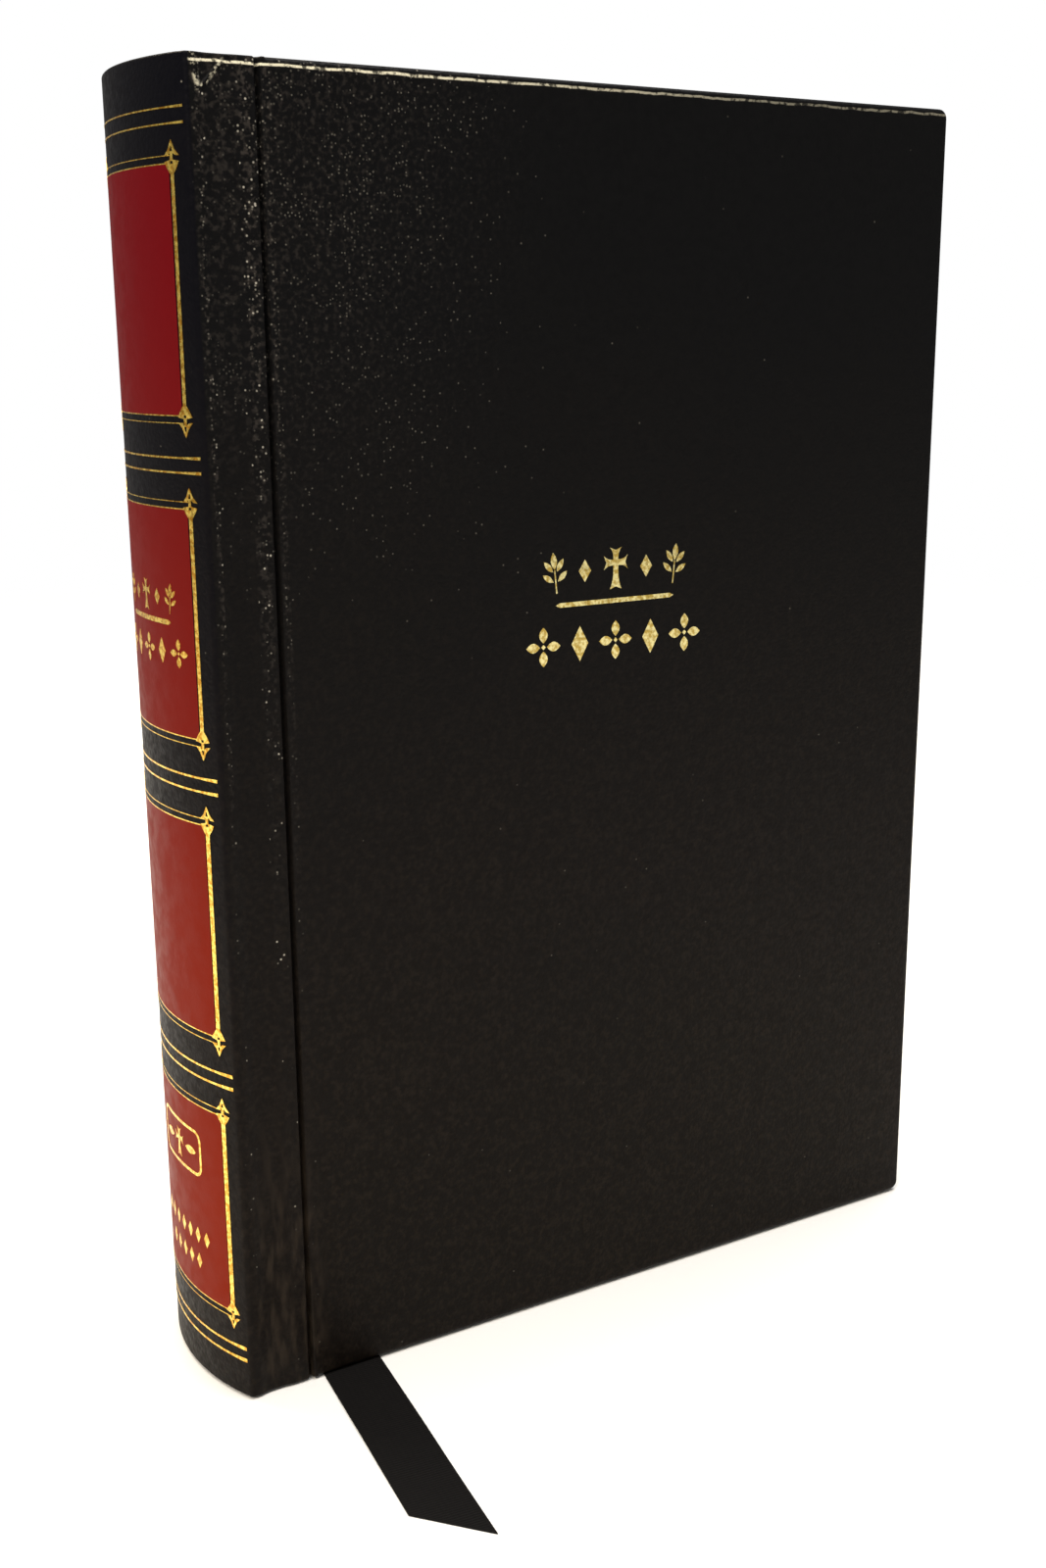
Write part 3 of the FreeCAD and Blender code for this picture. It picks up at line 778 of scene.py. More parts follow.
def close_mesh(name: str, build: bmesh.types.BMesh, smooth_below: float = SMOOTH_BELOW) -> bpy.types.Mesh:
    """Cleans a built mesh, points its faces outwards and shades it.

    Args:
        name: the mesh's name.
        build: the mesh under construction, which is freed.
        smooth_below: edges that turn by less than this many degrees are shaded smooth.

    Returns:
        The finished mesh.
    """
    bmesh.ops.remove_doubles(build, verts=build.verts, dist=WELD)
    bmesh.ops.dissolve_degenerate(build, edges=build.edges, dist=WELD)
    bmesh.ops.recalc_face_normals(build, faces=build.faces)
    mesh = bpy.data.meshes.new(name)
    build.to_mesh(mesh)
    build.free()
    mesh.shade_smooth()
    mesh.set_sharp_from_angle(angle=math.radians(smooth_below))
    return mesh


def loft(build: bmesh.types.BMesh, rings: Sequence[Sequence[Vector]]) -> None:
    """Adds a closed solid through closed rings of equal counts, capped at both ends.

    Args:
        build: the mesh to add to.
        rings: the rings, in order.
    """
    made = [[build.verts.new(v) for v in ring] for ring in rings]
    count = len(made[0])
    for first, second in zip(made, made[1:]):
        for i in range(count):
            j = (i + 1) % count
            build.faces.new((first[i], first[j], second[j], second[i]))
    build.faces.new(made[0])
    build.faces.new(list(reversed(made[-1])))


def rounded_section(thick: float, low: float, high: float, radius: float) -> Outline:
    """A wall's section, as depth under the outer face and height, with its two outer edges rounded.

    Args:
        thick: the wall's thickness.
        low: its lower end.
        high: its upper end.
        radius: radius of the rounded edges.

    Returns:
        The closed section.
    """
    turns = evenly(0.0, QUARTER, 5)
    lower = [(radius * (1 - math.cos(a)), low + radius * (1 - math.sin(a))) for a in reversed(turns)]
    upper = [(radius * (1 - math.cos(a)), high - radius * (1 - math.sin(a))) for a in turns]
    rises = evenly(low, high, 8)[1:-1]
    inner = [(thick, z) for z in [high, *reversed(rises), low]]
    return lower + [(0.0, z) for z in rises] + upper + inner


def square_section(thick: float, low: float, high: float) -> Outline:
    """A wall's section with sharp corners, as depth under the outer face and height."""
    return [(0.0, low), (0.0, high), (thick, high), (thick, low)]


def wall(build: bmesh.types.BMesh, stations: Sequence[Station], section: Outline) -> None:
    """Sweeps an upright wall along a line in the plan.

    Args:
        build: the mesh to add to.
        stations: points of the outer face with their outward directions, as x, y, nx, ny.
        section: the wall's closed section, as depth and height.
    """
    loft(build, [[Vector((x - nx * d, y - ny * d, z)) for d, z in section] for x, y, nx, ny in stations])


def with_normals(points: Sequence[Point2], sign: int) -> list[Station]:
    """Gives each point of a line in the plan its outward direction.

    Args:
        points: the line, with x rising.
        sign: -1 where outwards is -Y, 1 where it is +Y.

    Returns:
        The line's stations.
    """
    made = []
    for i, (x, y) in enumerate(points):
        before, after = points[max(i - 1, 0)], points[min(i + 1, len(points) - 1)]
        along = Vector((after[0] - before[0], after[1] - before[1])).normalized()
        made.append((x, y, -along.y * sign, along.x * sign))
    return made


@dataclass(frozen=True)
class Layout:
    """Planes and radii that the sub-assemblies share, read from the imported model."""

    foot: float
    head: float
    face: float
    back: float
    fore: float
    board: float
    board_inner: float
    block_back: float
    block_face: float
    leaf_foot: float
    leaf_head: float
    flyleaf: float
    flyleaf_face: float
    endpaper_face: float
    slot: float
    fold: float
    group_starts: tuple[float, ...]
    group_faces: tuple[float, ...]
    bulge: float = 3.6 * MM
    ridge_round: float = 0.9 * MM
    cloth: float = 0.4 * MM
    bend_before: float = 1.5 * MM

    @classmethod
    def from_frame(cls) -> "Layout":
        """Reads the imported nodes' boxes.

        Returns:
            The layout.
        """
        cover_low, cover_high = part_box("front_covering")
        board_low, board_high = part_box("front_board")
        fly_low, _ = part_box("front_flyleaf")
        leaf_low, leaf_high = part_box("front_signature_01")
        groups = [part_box(f"front_signature_{3 * g + 1:02d}")[0] for g in range(4)]
        return cls(foot=cover_low.z, head=cover_high.z, face=-cover_low.y, back=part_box("spine_covering")[0].x,
                   fore=cover_high.x, board=board_low.x, board_inner=-board_high.y,
                   block_back=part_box("front_sewn_gutter")[0].x, block_face=-leaf_low.y,
                   leaf_foot=leaf_low.z, leaf_head=leaf_high.z, flyleaf=fly_low.x, flyleaf_face=-fly_low.y,
                   endpaper_face=-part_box("front_endpaper_joint")[1].y,
                   slot=-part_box("front_sewn_gutter")[1].y, fold=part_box("front_joint_trough")[0].x,
                   group_starts=tuple(g.x for g in groups), group_faces=tuple(-g.y for g in groups))

    @property
    def ridge(self) -> float:
        """x of the spine's two ridges."""
        return self.back + self.bulge

    @property
    def radius(self) -> float:
        """Radius of the round back."""
        return (self.face ** 2 + self.bulge ** 2) / (2 * self.bulge)

    @property
    def axis(self) -> float:
        """x of the round back's axis."""
        return self.back + self.radius

    @property
    def half_angle(self) -> float:
        """Half the angle that the round back spans."""
        return math.asin(self.face / self.radius)

    @property
    def block_radius(self) -> float:
        """Radius of the text block's back."""
        return self.axis - self.block_back

    def on_back(self, along: float, out: float, z: float) -> Vector:
        """A point of the round back.

        Args:
            along: distance along the back from its middle, positive towards the front cover.
            out: height over the covering.
            z: height over the table.

        Returns:
            The point.
        """
        turn = -along / self.radius
        reach = self.radius + out
        return Vector((self.axis - reach * math.cos(turn), reach * math.sin(turn), z))


# ---------------------------------------------------------------- case


@dataclass
class SpineCase:
    """The rounded spine of the case: covering, and caps turned over the card behind it."""

    plan: Layout
    looks: Finishes
    edge: float = 0.3 * MM
    cap_depth: float = 1.4 * MM
    turn_in: float = 14 * MM
    flap: float = 0.2 * MM
    card_inset: float = 1.3 * MM
    ridge_steps: int = 8
    back_steps: int = 72

    def stations(self) -> list[Station]:
        """The covering's line in the plan, from the front joint round the back to the back joint.

        Returns:
            Its stations.
        """
        p = self.plan
        r = p.ridge_round
        centre_x = p.axis - math.sqrt((p.radius - r) ** 2 - (p.face - r) ** 2)
        tangent = math.asin((p.face - r) / (p.radius - r))
        made = [(centre_x, -p.face, 0.0, -1.0)]
        for a in evenly(-QUARTER, -tangent, self.ridge_steps)[1:]:
            n = (-math.cos(a), math.sin(a))
            made.append((centre_x + r * n[0], -(p.face - r) + r * n[1], *n))
        ridge = list(made)
        for a in evenly(-tangent, tangent, self.back_steps)[1:-1]:
            n = (-math.cos(a), math.sin(a))
            made.append((p.axis + p.radius * n[0], p.radius * n[1], *n))
        return made + [(x, -y, nx, -ny) for x, y, nx, ny in reversed(ridge)]

    def joint_start(self) -> float:
        """x where the joint's strips take over from the spine's covering."""
        return self.stations()[0][0]

    def turned_cap(self, end: float, way: int) -> Outline:
        """Section of the covering turned over the card at one end, as depth and height.

        Args:
            end: height of that end.
            way: 1 at the head, -1 at the foot.

        Returns:
            The closed section.
        """
        deep, cloth = self.cap_depth, self.plan.cloth
        turns = evenly(0.0, QUARTER, 4)
        r = cloth * 0.8
        lip = [(deep - r + r * math.sin(a), end - way * (r - r * math.cos(a))) for a in turns]
        return [(cloth * 0.4, end - way * cloth), (cloth * 0.4, end)] + lip + [
            (deep, end - way * self.turn_in), (deep - self.flap, end - way * self.turn_in),
            (deep - self.flap, end - way * cloth)]

    def build(self) -> None:
        """Makes the covering, with its ends turned over the card."""
        p = self.plan
        mesh = bmesh.new()
        stations = self.stations()
        wall(mesh, stations, rounded_section(p.cloth, p.foot, p.head, self.edge))
        reach = p.half_angle - self.card_inset / p.radius
        inner = [s for s in stations if abs(s[1]) < p.radius * math.sin(reach)]
        wall(mesh, inner, self.turned_cap(p.head, 1))
        wall(mesh, inner, self.turned_cap(p.foot, -1))
        piece = new_piece("spine_cloth", close_mesh("spine_cloth", mesh), self.looks.cloth)
        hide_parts("spine_covering")
        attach(piece, "spine")


@dataclass
class Joint:
    """The grooved strip of covering between the spine and one cover, in two finely divided pieces."""

    plan: Layout
    looks: Finishes
    side: Side
    start: float
    hollow: float = 0.4 * MM
    hollow_falls: Point2 = (1.0 * MM, 3.2 * MM)
    hollow_rises: Point2 = (5.2 * MM, 7.0 * MM)
    hollow_rise: float = 0.55
    crease_depth: float = 1.0 * MM
    crease_in: float = 1.05 * MM
    crease_floor: float = 0.5 * MM
    overlap: float = 0.5 * MM
    endpaper_overlap: float = 0.1 * MM
    endpaper_steps: int = 16
    edge: float = 0.3 * MM
    ridge_step: float = 0.25 * MM
    trough_step: float = 0.1 * MM
    smooth_below: float = 60.0

    def depth(self, x: float) -> float:
        """Depth of the groove at x: a shallow hollow, then a tight crease against the board.

        Args:
            x: place in the plan.

        Returns:
            Depth under the cover's face.
        """
        at = x - self.plan.ridge
        edge = self.plan.board - self.plan.ridge
        risen = 1 - self.hollow_rise * ease(at, *self.hollow_rises)
        hollow = self.hollow * ease(at, *self.hollow_falls) * risen
        shut = 1 - ease(at, edge - self.crease_floor, edge)
        crease = ease(at, edge - self.crease_in, edge - self.crease_floor) * shut
        return hollow * shut + (self.crease_depth - hollow) * crease

    def strip(self, name: str, low: float, high: float, step: float) -> bpy.types.Object:
        """One strip of the joint.

        Args:
            name: the piece's name.
            low: where it starts.
            high: where it ends.
            step: distance between its creases.

        Returns:
            The piece.
        """
        count = max(2, round((high - low) / step))
        sign = self.side.value
        xs = evenly(low, high, count)
        line = [(x, sign * (self.plan.face - self.depth(x))) for x in xs]
        mesh = bmesh.new()
        section = rounded_section(self.plan.cloth, self.plan.foot, self.plan.head, self.edge)
        wall(mesh, with_normals(line, sign), section)
        piece = new_piece(name, close_mesh(name, mesh, self.smooth_below), self.looks.cloth)
        return piece

    def build(self) -> None:
        """Makes both strips and the endpaper behind them."""
        p = self.plan
        word = self.side.word
        ridge = self.strip(f"{word}_joint_cloth_ridge", self.start, p.fold, self.ridge_step)
        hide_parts(f"{word}_joint_ridge")
        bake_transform(ridge)
        trough = self.strip(f"{word}_joint_cloth_trough", p.fold, p.board + self.overlap, self.trough_step)
        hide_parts(f"{word}_joint_trough")
        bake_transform(trough)
        self.endpaper()

    def endpaper(self) -> None:
        """The endpaper strip from the board to the text block."""
        word = self.side.word
        low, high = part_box(f"{word}_endpaper_joint")
        name = f"{word}_endpaper_fold"
        sign = self.side.value
        xs = evenly(low.x, high.x + self.endpaper_overlap, self.endpaper_steps)
        outer = max(abs(low.y), abs(high.y))
        mesh = bmesh.new()
        thick = high.y - low.y
        section = square_section(thick, low.z, high.z)
        wall(mesh, with_normals([(x, sign * outer) for x in xs], sign), section)
        piece = new_piece(name, close_mesh(name, mesh), self.looks.endpaper)
        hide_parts(f"{word}_endpaper_joint")
        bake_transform(piece)


@dataclass
class Cover:
    """One board with its covering wrapped over three edges, and the pastedown inside."""

    plan: Layout
    looks: Finishes
    side: Side
    start_gap: float = 0.5 * MM
    corner: float = 1.5 * MM
    edge: float = 0.75 * MM
    inner_edge: float = 0.45 * MM
    turn_in: float = 14 * MM
    pared: float = 0.2 * MM
    paper: float = 0.15 * MM
    paper_sunk: float = 0.12 * MM
    paper_slope: float = 1.2 * MM
    steps: int = 12

    def rim(self, inset: float) -> Outline:
        """The open line round foot, fore-edge and head, moved inwards.

        Args:
            inset: how far in.

        Returns:
            Points from the spine end of the foot to the spine end of the head, as x and z.
        """
        p = self.plan
        start = p.board + self.start_gap
        right, low, high = p.fore - inset, p.foot + inset, p.head - inset
        r = self.corner
        stops = evenly(start, p.fore - r, self.steps)
        turns = evenly(0.0, QUARTER, 6)[1:-1]
        foot = [(min(x, right), low) for x in stops]
        head = [(min(x, right), high) for x in reversed(stops)]
        fore = [(right, min(max(z, low), high)) for z in evenly(p.foot + r, p.head - r, 16)]
        if inset >= r:
            return foot + [(right, low)] * len(turns) + fore + [(right, high)] * len(turns) + head
        bend = r - inset
        low_turn = [(p.fore - r + bend * math.sin(a), p.foot + r - bend * math.cos(a)) for a in turns]
        high_turn = [(p.fore - r + bend * math.cos(a), p.head - r + bend * math.sin(a)) for a in turns]
        return foot + low_turn + fore + high_turn + head

    def section(self) -> Outline:
        """How the covering wraps an edge, from the outer face to behind the board.

        Returns:
            The section, as inset and depth.
        """
        thick = self.plan.face - self.plan.board_inner + self.pared
        cloth = self.plan.cloth
        turns = evenly(0.0, QUARTER, 6)
        e, n = self.edge, self.inner_edge
        outer = [(e * (1 - math.sin(a)), e * (1 - math.cos(a))) for a in turns]
        inner = [(n * (1 - math.cos(a)), thick - n * (1 - math.sin(a))) for a in turns]
        face = [(self.turn_in, 0.0), (4 * MM, 0.0), (1.6 * MM, 0.0)]
        back = [(1.6 * MM, thick), (self.turn_in - 0.3 * MM, thick), (self.turn_in, thick - self.pared * 0.6),
                (self.turn_in, thick - self.pared), (cloth, thick - self.pared), (cloth, cloth),
                (self.turn_in, cloth)]
        return face + outer + inner + back

    def build_covering(self) -> None:
        """Makes the covering."""
        sign, face = self.side.value, self.plan.face
        mesh = bmesh.new()
        rings = []
        for inset, depth in self.section():
            y = sign * (face - depth)
            rings.append([mesh.verts.new((x, y, z)) for x, z in self.rim(inset)])
        for first, second in zip(rings, rings[1:]):
            for i in range(len(first) - 1):
                mesh.faces.new((first[i], first[i + 1], second[i + 1], second[i]))
        for ring in (rings[0], rings[-1]):
            for i in range(self.steps):
                mesh.faces.new((ring[i], ring[i + 1], ring[-2 - i], ring[-1 - i]))
            mesh.faces.new(ring[self.steps:-self.steps])
        mesh.faces.new([r[0] for r in rings] + [r[-1] for r in reversed(rings)])
        name = f"{self.side.word}_cover_cloth"
        piece = new_piece(name, close_mesh(name, mesh), self.looks.cloth)
        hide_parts(f"{self.side.word}_covering")
        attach(piece, f"{self.side.word}_cover")

    def build_pastedown(self) -> None:
        """Makes the pastedown, sunk between the turn-ins and stepping up over their edges."""
        word, sign = self.side.word, self.side.value
        low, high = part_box(f"{word}_pastedown")
        inner = min(abs(low.y), abs(high.y))
        edge_x = self.plan.fore - self.turn_in
        edge_low, edge_high = self.plan.foot + self.turn_in, self.plan.head - self.turn_in

        def sunk(x: float, z: float) -> float:
            """1 between the turn-ins, 0 over them."""
            inside = min(edge_x - x, z - edge_low, edge_high - z)
            return ease(inside, -self.paper_slope / 2, self.paper_slope / 2)

        def stops(ends: Sequence[float], edges: Sequence[float]) -> list[float]:
            """Grid lines: a coarse spread and a close set at each edge.

            Args:
                ends: where the paper starts and ends.
                edges: where it steps up.

            Returns:
                The lines, in order.
            """
            close, clear = 0.3 * MM, 1.3 * MM
            near = [e + k * close for e in edges for k in range(-3, 4)]
            coarse = [c for c in evenly(*ends, 24) if all(abs(c - e) > clear for e in edges)]
            return sorted(near + coarse)

        xs, zs = stops((low.x, high.x), (edge_x,)), stops((low.z, high.z), (edge_low, edge_high))
        mesh = bmesh.new()
        sheets = []
        for back in (0.0, self.paper):
            rows = []
            for x in xs:
                depth = [inner + self.paper_sunk * sunk(x, z) + back for z in zs]
                rows.append([mesh.verts.new((x, sign * d, z)) for z, d in zip(zs, depth)])
            sheets.append(rows)
            for a, b in zip(rows, rows[1:]):
                for j in range(len(zs) - 1):
                    mesh.faces.new((a[j], a[j + 1], b[j + 1], b[j]))
        first, second = sheets
        for top, under in ((first[0], second[0]), (first[-1], second[-1]),
                           ([r[0] for r in first], [r[0] for r in second]),
                           ([r[-1] for r in first], [r[-1] for r in second])):
            for j in range(len(top) - 1):
                mesh.faces.new((top[j], top[j + 1], under[j + 1], under[j]))
        name = f"{word}_pasted_endpaper"
        piece = new_piece(name, close_mesh(name, mesh), self.looks.endpaper)
        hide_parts(f"{word}_pastedown")
        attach(piece, f"{word}_cover")

    def build(self) -> None:
        """Makes the cover's pieces."""
        self.build_covering()
        self.build_pastedown()


# ---------------------------------------------------------------- text block


# A leaf's grid lines, and how closely they crowd towards the back, where it bends.
LEAF_COLUMNS = 56
LEAF_CROWDING = 1.7
# One turn of silk on a band: a slim leaning bead. The colour changes after every second turn.
BEAD_SEGMENTS = 12
BEAD_RINGS = 6
BEAD_LEAN = 0.28
BEAD_WIDTH = 0.42
BEADS_A_COLOUR = 2


class NodeRecipe:
    """A Geometry Nodes tree under construction, with named inputs."""

    def __init__(self, name: str) -> None:
        """Starts an empty tree.

        Args:
            name: the tree's name.
        """
        self.tree = bpy.data.node_groups.new(name, "GeometryNodeTree")
        self.tree.interface.new_socket("Geometry", in_out="OUTPUT", socket_type="NodeSocketGeometry")
        self.inputs = self.tree.nodes.new("NodeGroupInput")
        self.identifiers: dict[str, str] = {}

    def size(self, name: str, kind: str = "Float") -> bpy.types.NodeSocket:
        """Adds a named input.

        Args:
            name: what the input sets.
            kind: Float, Int or Material.

        Returns:
            Its socket inside the tree.
        """
        socket = self.tree.interface.new_socket(name, in_out="INPUT", socket_type=f"NodeSocket{kind}")
        self.identifiers[name] = socket.identifier
        return self.inputs.outputs[name]

    def add(self, kind: str, inputs: Optional[dict[Any, Any]] = None,
            **settings: Any) -> bpy.types.NodeSocket:
        """Adds a node and returns its first output."""
        return add_node(self.tree, kind, inputs, **settings).outputs[0]

    def math(self, operation: str, *values: Any) -> bpy.types.NodeSocket:
        """A sum on numbers or sockets."""
        return self.add("ShaderNodeMath", dict(enumerate(values)), operation=operation)

    def vector(self, x: Any = 0.0, y: Any = 0.0, z: Any = 0.0) -> bpy.types.NodeSocket:
        """A vector from numbers or sockets."""
        return self.add("ShaderNodeCombineXYZ", {0: x, 1: y, 2: z})

    def finish(self, geometry: bpy.types.NodeSocket) -> None:
        """Ends the tree in this geometry."""
        add_node(self.tree, "NodeGroupOutput", {0: geometry})

    def run(self, name: str, values: dict[str, Any]) -> bpy.types.Mesh:
        """Evaluates the tree with these inputs and returns the result as a plain mesh.

        Args:
            name: name of the mesh.
            values: input name to value.

        Returns:
            The mesh.
        """
        host = bpy.data.objects.new(name, bpy.data.meshes.new(name))
        bpy.context.scene.collection.objects.link(host)
        modifier = host.modifiers.new("recipe", "NODES")
        modifier.node_group = self.tree
        for key, value in values.items():
            modifier[self.identifiers[key]] = value
        depsgraph = bpy.context.evaluated_depsgraph_get()
        evaluated = host.evaluated_get(depsgraph)
        mesh = bpy.data.meshes.new_from_object(evaluated, preserve_all_data_layers=True, depsgraph=depsgraph)
        bpy.data.objects.remove(host)
        return mesh


def leaf_stack_recipe() -> NodeRecipe:
    """Thin leaves side by side, each set back so that their spines lie on the round back.

    Returns:
        The tree, which gives one mesh for each group of leaves.
    """
    r = NodeRecipe("leaf_stack")
    leaves, first, pitch = r.size("Leaves", "Int"), r.size("First Depth"), r.size("Pitch")
    thick, radius, axis = r.size("Thickness"), r.size("Back Radius"), r.size("Back Axis")
    width, foot, height = r.size("Width"), r.size("Foot"), r.size("Height")
    uneven, seed, paper = r.size("Unevenness"), r.size("Seed", "Int"), r.size("Paper", "Material")
    start, stride = r.vector(y=first), r.vector(y=pitch)
    line = r.add("GeometryNodeMeshLine", {"Count": leaves, "Start Location": start, "Offset": stride})
    depth = r.tree.nodes.new("ShaderNodeSeparateXYZ")
    r.tree.links.new(r.add("GeometryNodeInputPosition"), depth.inputs[0])
    square = r.math("SUBTRACT", r.math("MULTIPLY", radius, radius),
                    r.math("MULTIPLY", depth.outputs[1], depth.outputs[1]))
    back = r.math("SUBTRACT", axis, r.math("SQRT", square))
    spread = r.vector(x=uneven, z=uneven)
    less = r.vector(x=r.math("MULTIPLY", uneven, -1.0), z=r.math("MULTIPLY", uneven, -1.0))
    jitter = r.add("FunctionNodeRandomValue", {0: less, 1: spread, "Seed": seed},
                   data_type="FLOAT_VECTOR")
    shift = r.add("ShaderNodeVectorMath", {0: r.vector(x=back), 1: jitter}, operation="ADD")
    points = r.add("GeometryNodeSetPosition", {"Geometry": line, "Offset": shift})
    slab = r.add("GeometryNodeMeshCube", {"Size": r.vector(width, thick, height), "Vertices X": LEAF_COLUMNS,
                                          "Vertices Y": 2, "Vertices Z": 2})
    middle = r.vector(x=r.math("MULTIPLY", width, 0.5), z=r.math("MULTIPLY_ADD", height, 0.5, foot))
    placed = r.add("GeometryNodeTransform", {"Geometry": slab, "Translation": middle})
    at = r.tree.nodes.new("ShaderNodeSeparateXYZ")
    r.tree.links.new(r.add("GeometryNodeInputPosition"), at.inputs[0])
    share = r.math("POWER", r.math("DIVIDE", at.outputs[0], width), LEAF_CROWDING)
    close = r.vector(r.math("MULTIPLY", share, width), at.outputs[1], at.outputs[2])
    leaf = r.add("GeometryNodeSetPosition", {"Geometry": placed, "Position": close})
    stack = r.add("GeometryNodeInstanceOnPoints", {"Points": points, "Instance": leaf})
    real = r.add("GeometryNodeRealizeInstances", {0: stack})
    r.finish(r.add("GeometryNodeSetMaterial", {"Geometry": real, "Material": paper}))
    return r


def wound_band_recipe() -> NodeRecipe:
    """A band of silk wound in two colours, laid round the back of the text block.

    Returns:
        The tree.
    """
    r = NodeRecipe("wound_band")
    turns, radius, axis = r.size("Turns", "Int"), r.size("Back Radius"), r.size("Back Axis")
    half, height, bead = r.size("Half Angle"), r.size("Height"), r.size("Bead Radius")
    first, second = r.size("Main Silk", "Material"), r.size("Second Silk", "Material")
    line = r.add("GeometryNodeMeshLine", {"Count": turns, "Offset": (0, 0, 0)})
    index = r.add("GeometryNodeInputIndex")
    share = r.math("DIVIDE", index, r.math("SUBTRACT", turns, 1.0))
    angle = r.math("MULTIPLY", r.math("MULTIPLY_ADD", share, 2.0, -1.0), half)
    x = r.math("SUBTRACT", axis, r.math("MULTIPLY", radius, r.math("COSINE", angle)))
    y = r.math("MULTIPLY", radius, r.math("SINE", angle))
    points = r.add("GeometryNodeSetPosition", {"Geometry": line, "Position": r.vector(x, y, height)})
    ball = r.add("GeometryNodeMeshUVSphere", {"Segments": BEAD_SEGMENTS, "Rings": BEAD_RINGS, "Radius": bead})
    lean = r.vector(z=r.math("MULTIPLY_ADD", angle, -1.0, BEAD_LEAN))
    beads = r.add("GeometryNodeInstanceOnPoints", {"Points": points, "Instance": ball, "Rotation": lean,
                                                   "Scale": r.vector(1.0, BEAD_WIDTH, 1.0)})
    shaded = r.add("GeometryNodeSetShadeSmooth", {0: r.add("GeometryNodeRealizeInstances", {0: beads})})
    corners = float(BEAD_SEGMENTS * (BEAD_RINGS - 1) + 2)
    number = r.math("FLOOR", r.math("DIVIDE", index, corners))
    every = r.math("LESS_THAN", r.math("MODULO", number, 2.0 * BEADS_A_COLOUR), float(BEADS_A_COLOUR))
    main = r.add("GeometryNodeSetMaterial", {"Geometry": shaded, "Material": first})
    r.finish(r.add("GeometryNodeSetMaterial", {"Geometry": main, "Selection": every, "Material": second}))
    return r


@dataclass
class TextBlock:
    """Sewn leaves in four groups a side, flyleaves and bands."""

    plan: Layout
    looks: Finishes
    packs: int = 21
    gap: float = 0.008 * MM
    uneven: float = 0.04 * MM
    bend: float = 6.0 * MM
    group_gap: float = 0.12 * MM
    seed: int = 7
    fore_square: float = 3.2 * MM
    signatures: int = 3
    flyleaf_steps: int = 40
    flyleaf_bend: float = 3 * MM
    band_turns: int = 54

    def group_end(self, index: int) -> float:
        """Depth of a group's inner face, as a distance from the middle plane."""
        faces = self.plan.group_faces
        return faces[index + 1] + self.group_gap if index + 1 < len(faces) else self.plan.slot

    def build_group(self, recipe: NodeRecipe, side: Side, index: int) -> None:
        """Makes one group of leaves, from its sewn back to the fore-edge.

        Args:
            recipe: the leaf stack.
            side: its half of the block.
            index: 0 next to the cover.
        """
        p = self.plan
        outer, inner = p.group_faces[index], self.group_end(index)
        pitch = (outer - inner) / self.packs
        sign = side.value
        name = f"{side.word}_leaf_group_{index + 1}"
        width = p.fore - self.fore_square - (p.axis - math.sqrt(p.block_radius ** 2 - p.block_face ** 2))
        mesh = recipe.run(name, {
            "Leaves": self.packs, "First Depth": sign * (outer - pitch / 2), "Pitch": -sign * pitch,
            "Thickness": pitch - self.gap, "Back Radius": p.block_radius - self.uneven, "Back Axis": p.axis,
            "Width": width - 2 * self.uneven, "Foot": p.leaf_foot + self.uneven,
            "Height": p.leaf_head - p.leaf_foot - 2 * self.uneven, "Unevenness": self.uneven,
            "Seed": self.seed + index + 10 * (sign + 1), "Paper": self.looks.paper})
        piece = new_piece(name, mesh, self.looks.paper, self.looks.page)
        edge = sign * inner
        for face in mesh.polygons:
            if abs(face.normal.y) > 0.9 and abs(face.center.y - edge) < pitch * 0.3:
                face.material_index = 1
        numbers = range(self.signatures * index + 1, self.signatures * (index + 1) + 1)
        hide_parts(*[f"{side.word}_signature_{n:02d}" for n in numbers])
        if index == 0:
            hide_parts(f"{side.word}_sewn_gutter")
        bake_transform(piece)

    def build_flyleaf(self, side: Side) -> None:
        """Makes one flyleaf, tipped on at the joint.

        Args:
            side: its side of the book.
        """
        p = self.plan
        low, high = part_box(f"{side.word}_flyleaf")
        sign, name = side.value, f"{side.word}_free_endpaper"
        xs = [low.x + (high.x - low.x) * share ** 2 for share in evenly(0.0, 1.0, self.flyleaf_steps)]
        thick = high.y - low.y
        section = square_section(thick, low.z, high.z)
        mesh = bmesh.new()
        wall(mesh, with_normals([(x, sign * p.flyleaf_face) for x in xs], sign), section)
        piece = new_piece(name, close_mesh(name, mesh), self.looks.endpaper)
        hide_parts(f"{side.word}_flyleaf")
        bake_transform(piece)

    def build_band(self, recipe: NodeRecipe, node: str) -> None:
        """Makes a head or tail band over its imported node.

        Args:
            recipe: the wound band.
            node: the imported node.
        """
        p = self.plan
        low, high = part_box(node)
        bead = (high.z - low.z) / 2
        half = math.asin(high.y / p.block_radius) - bead / p.block_radius * 0.6
        mesh = recipe.run(f"{node}_silk", {
            "Turns": self.band_turns, "Back Radius": p.block_radius - bead / 2, "Back Axis": p.axis,
            "Half Angle": half, "Height": (low.z + high.z) / 2, "Bead Radius": bead,
            "Main Silk": self.looks.silk_red, "Second Silk": self.looks.silk_gold})
        kept = list(mesh.materials)
        piece = new_piece(f"{node}_silk", mesh, *kept)
        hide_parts(node)
        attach(piece, "spine")

    def build(self) -> None:
        """Makes the text block's pieces."""
        leaves = leaf_stack_recipe()
        for side in Side:
            for index in range(len(self.plan.group_starts)):
                self.build_group(leaves, side, index)
            self.build_flyleaf(side)
        band = wound_band_recipe()
        for node in ("head_band", "tail_band"):
            self.build_band(band, node)


# ---------------------------------------------------------------- marker ribbon


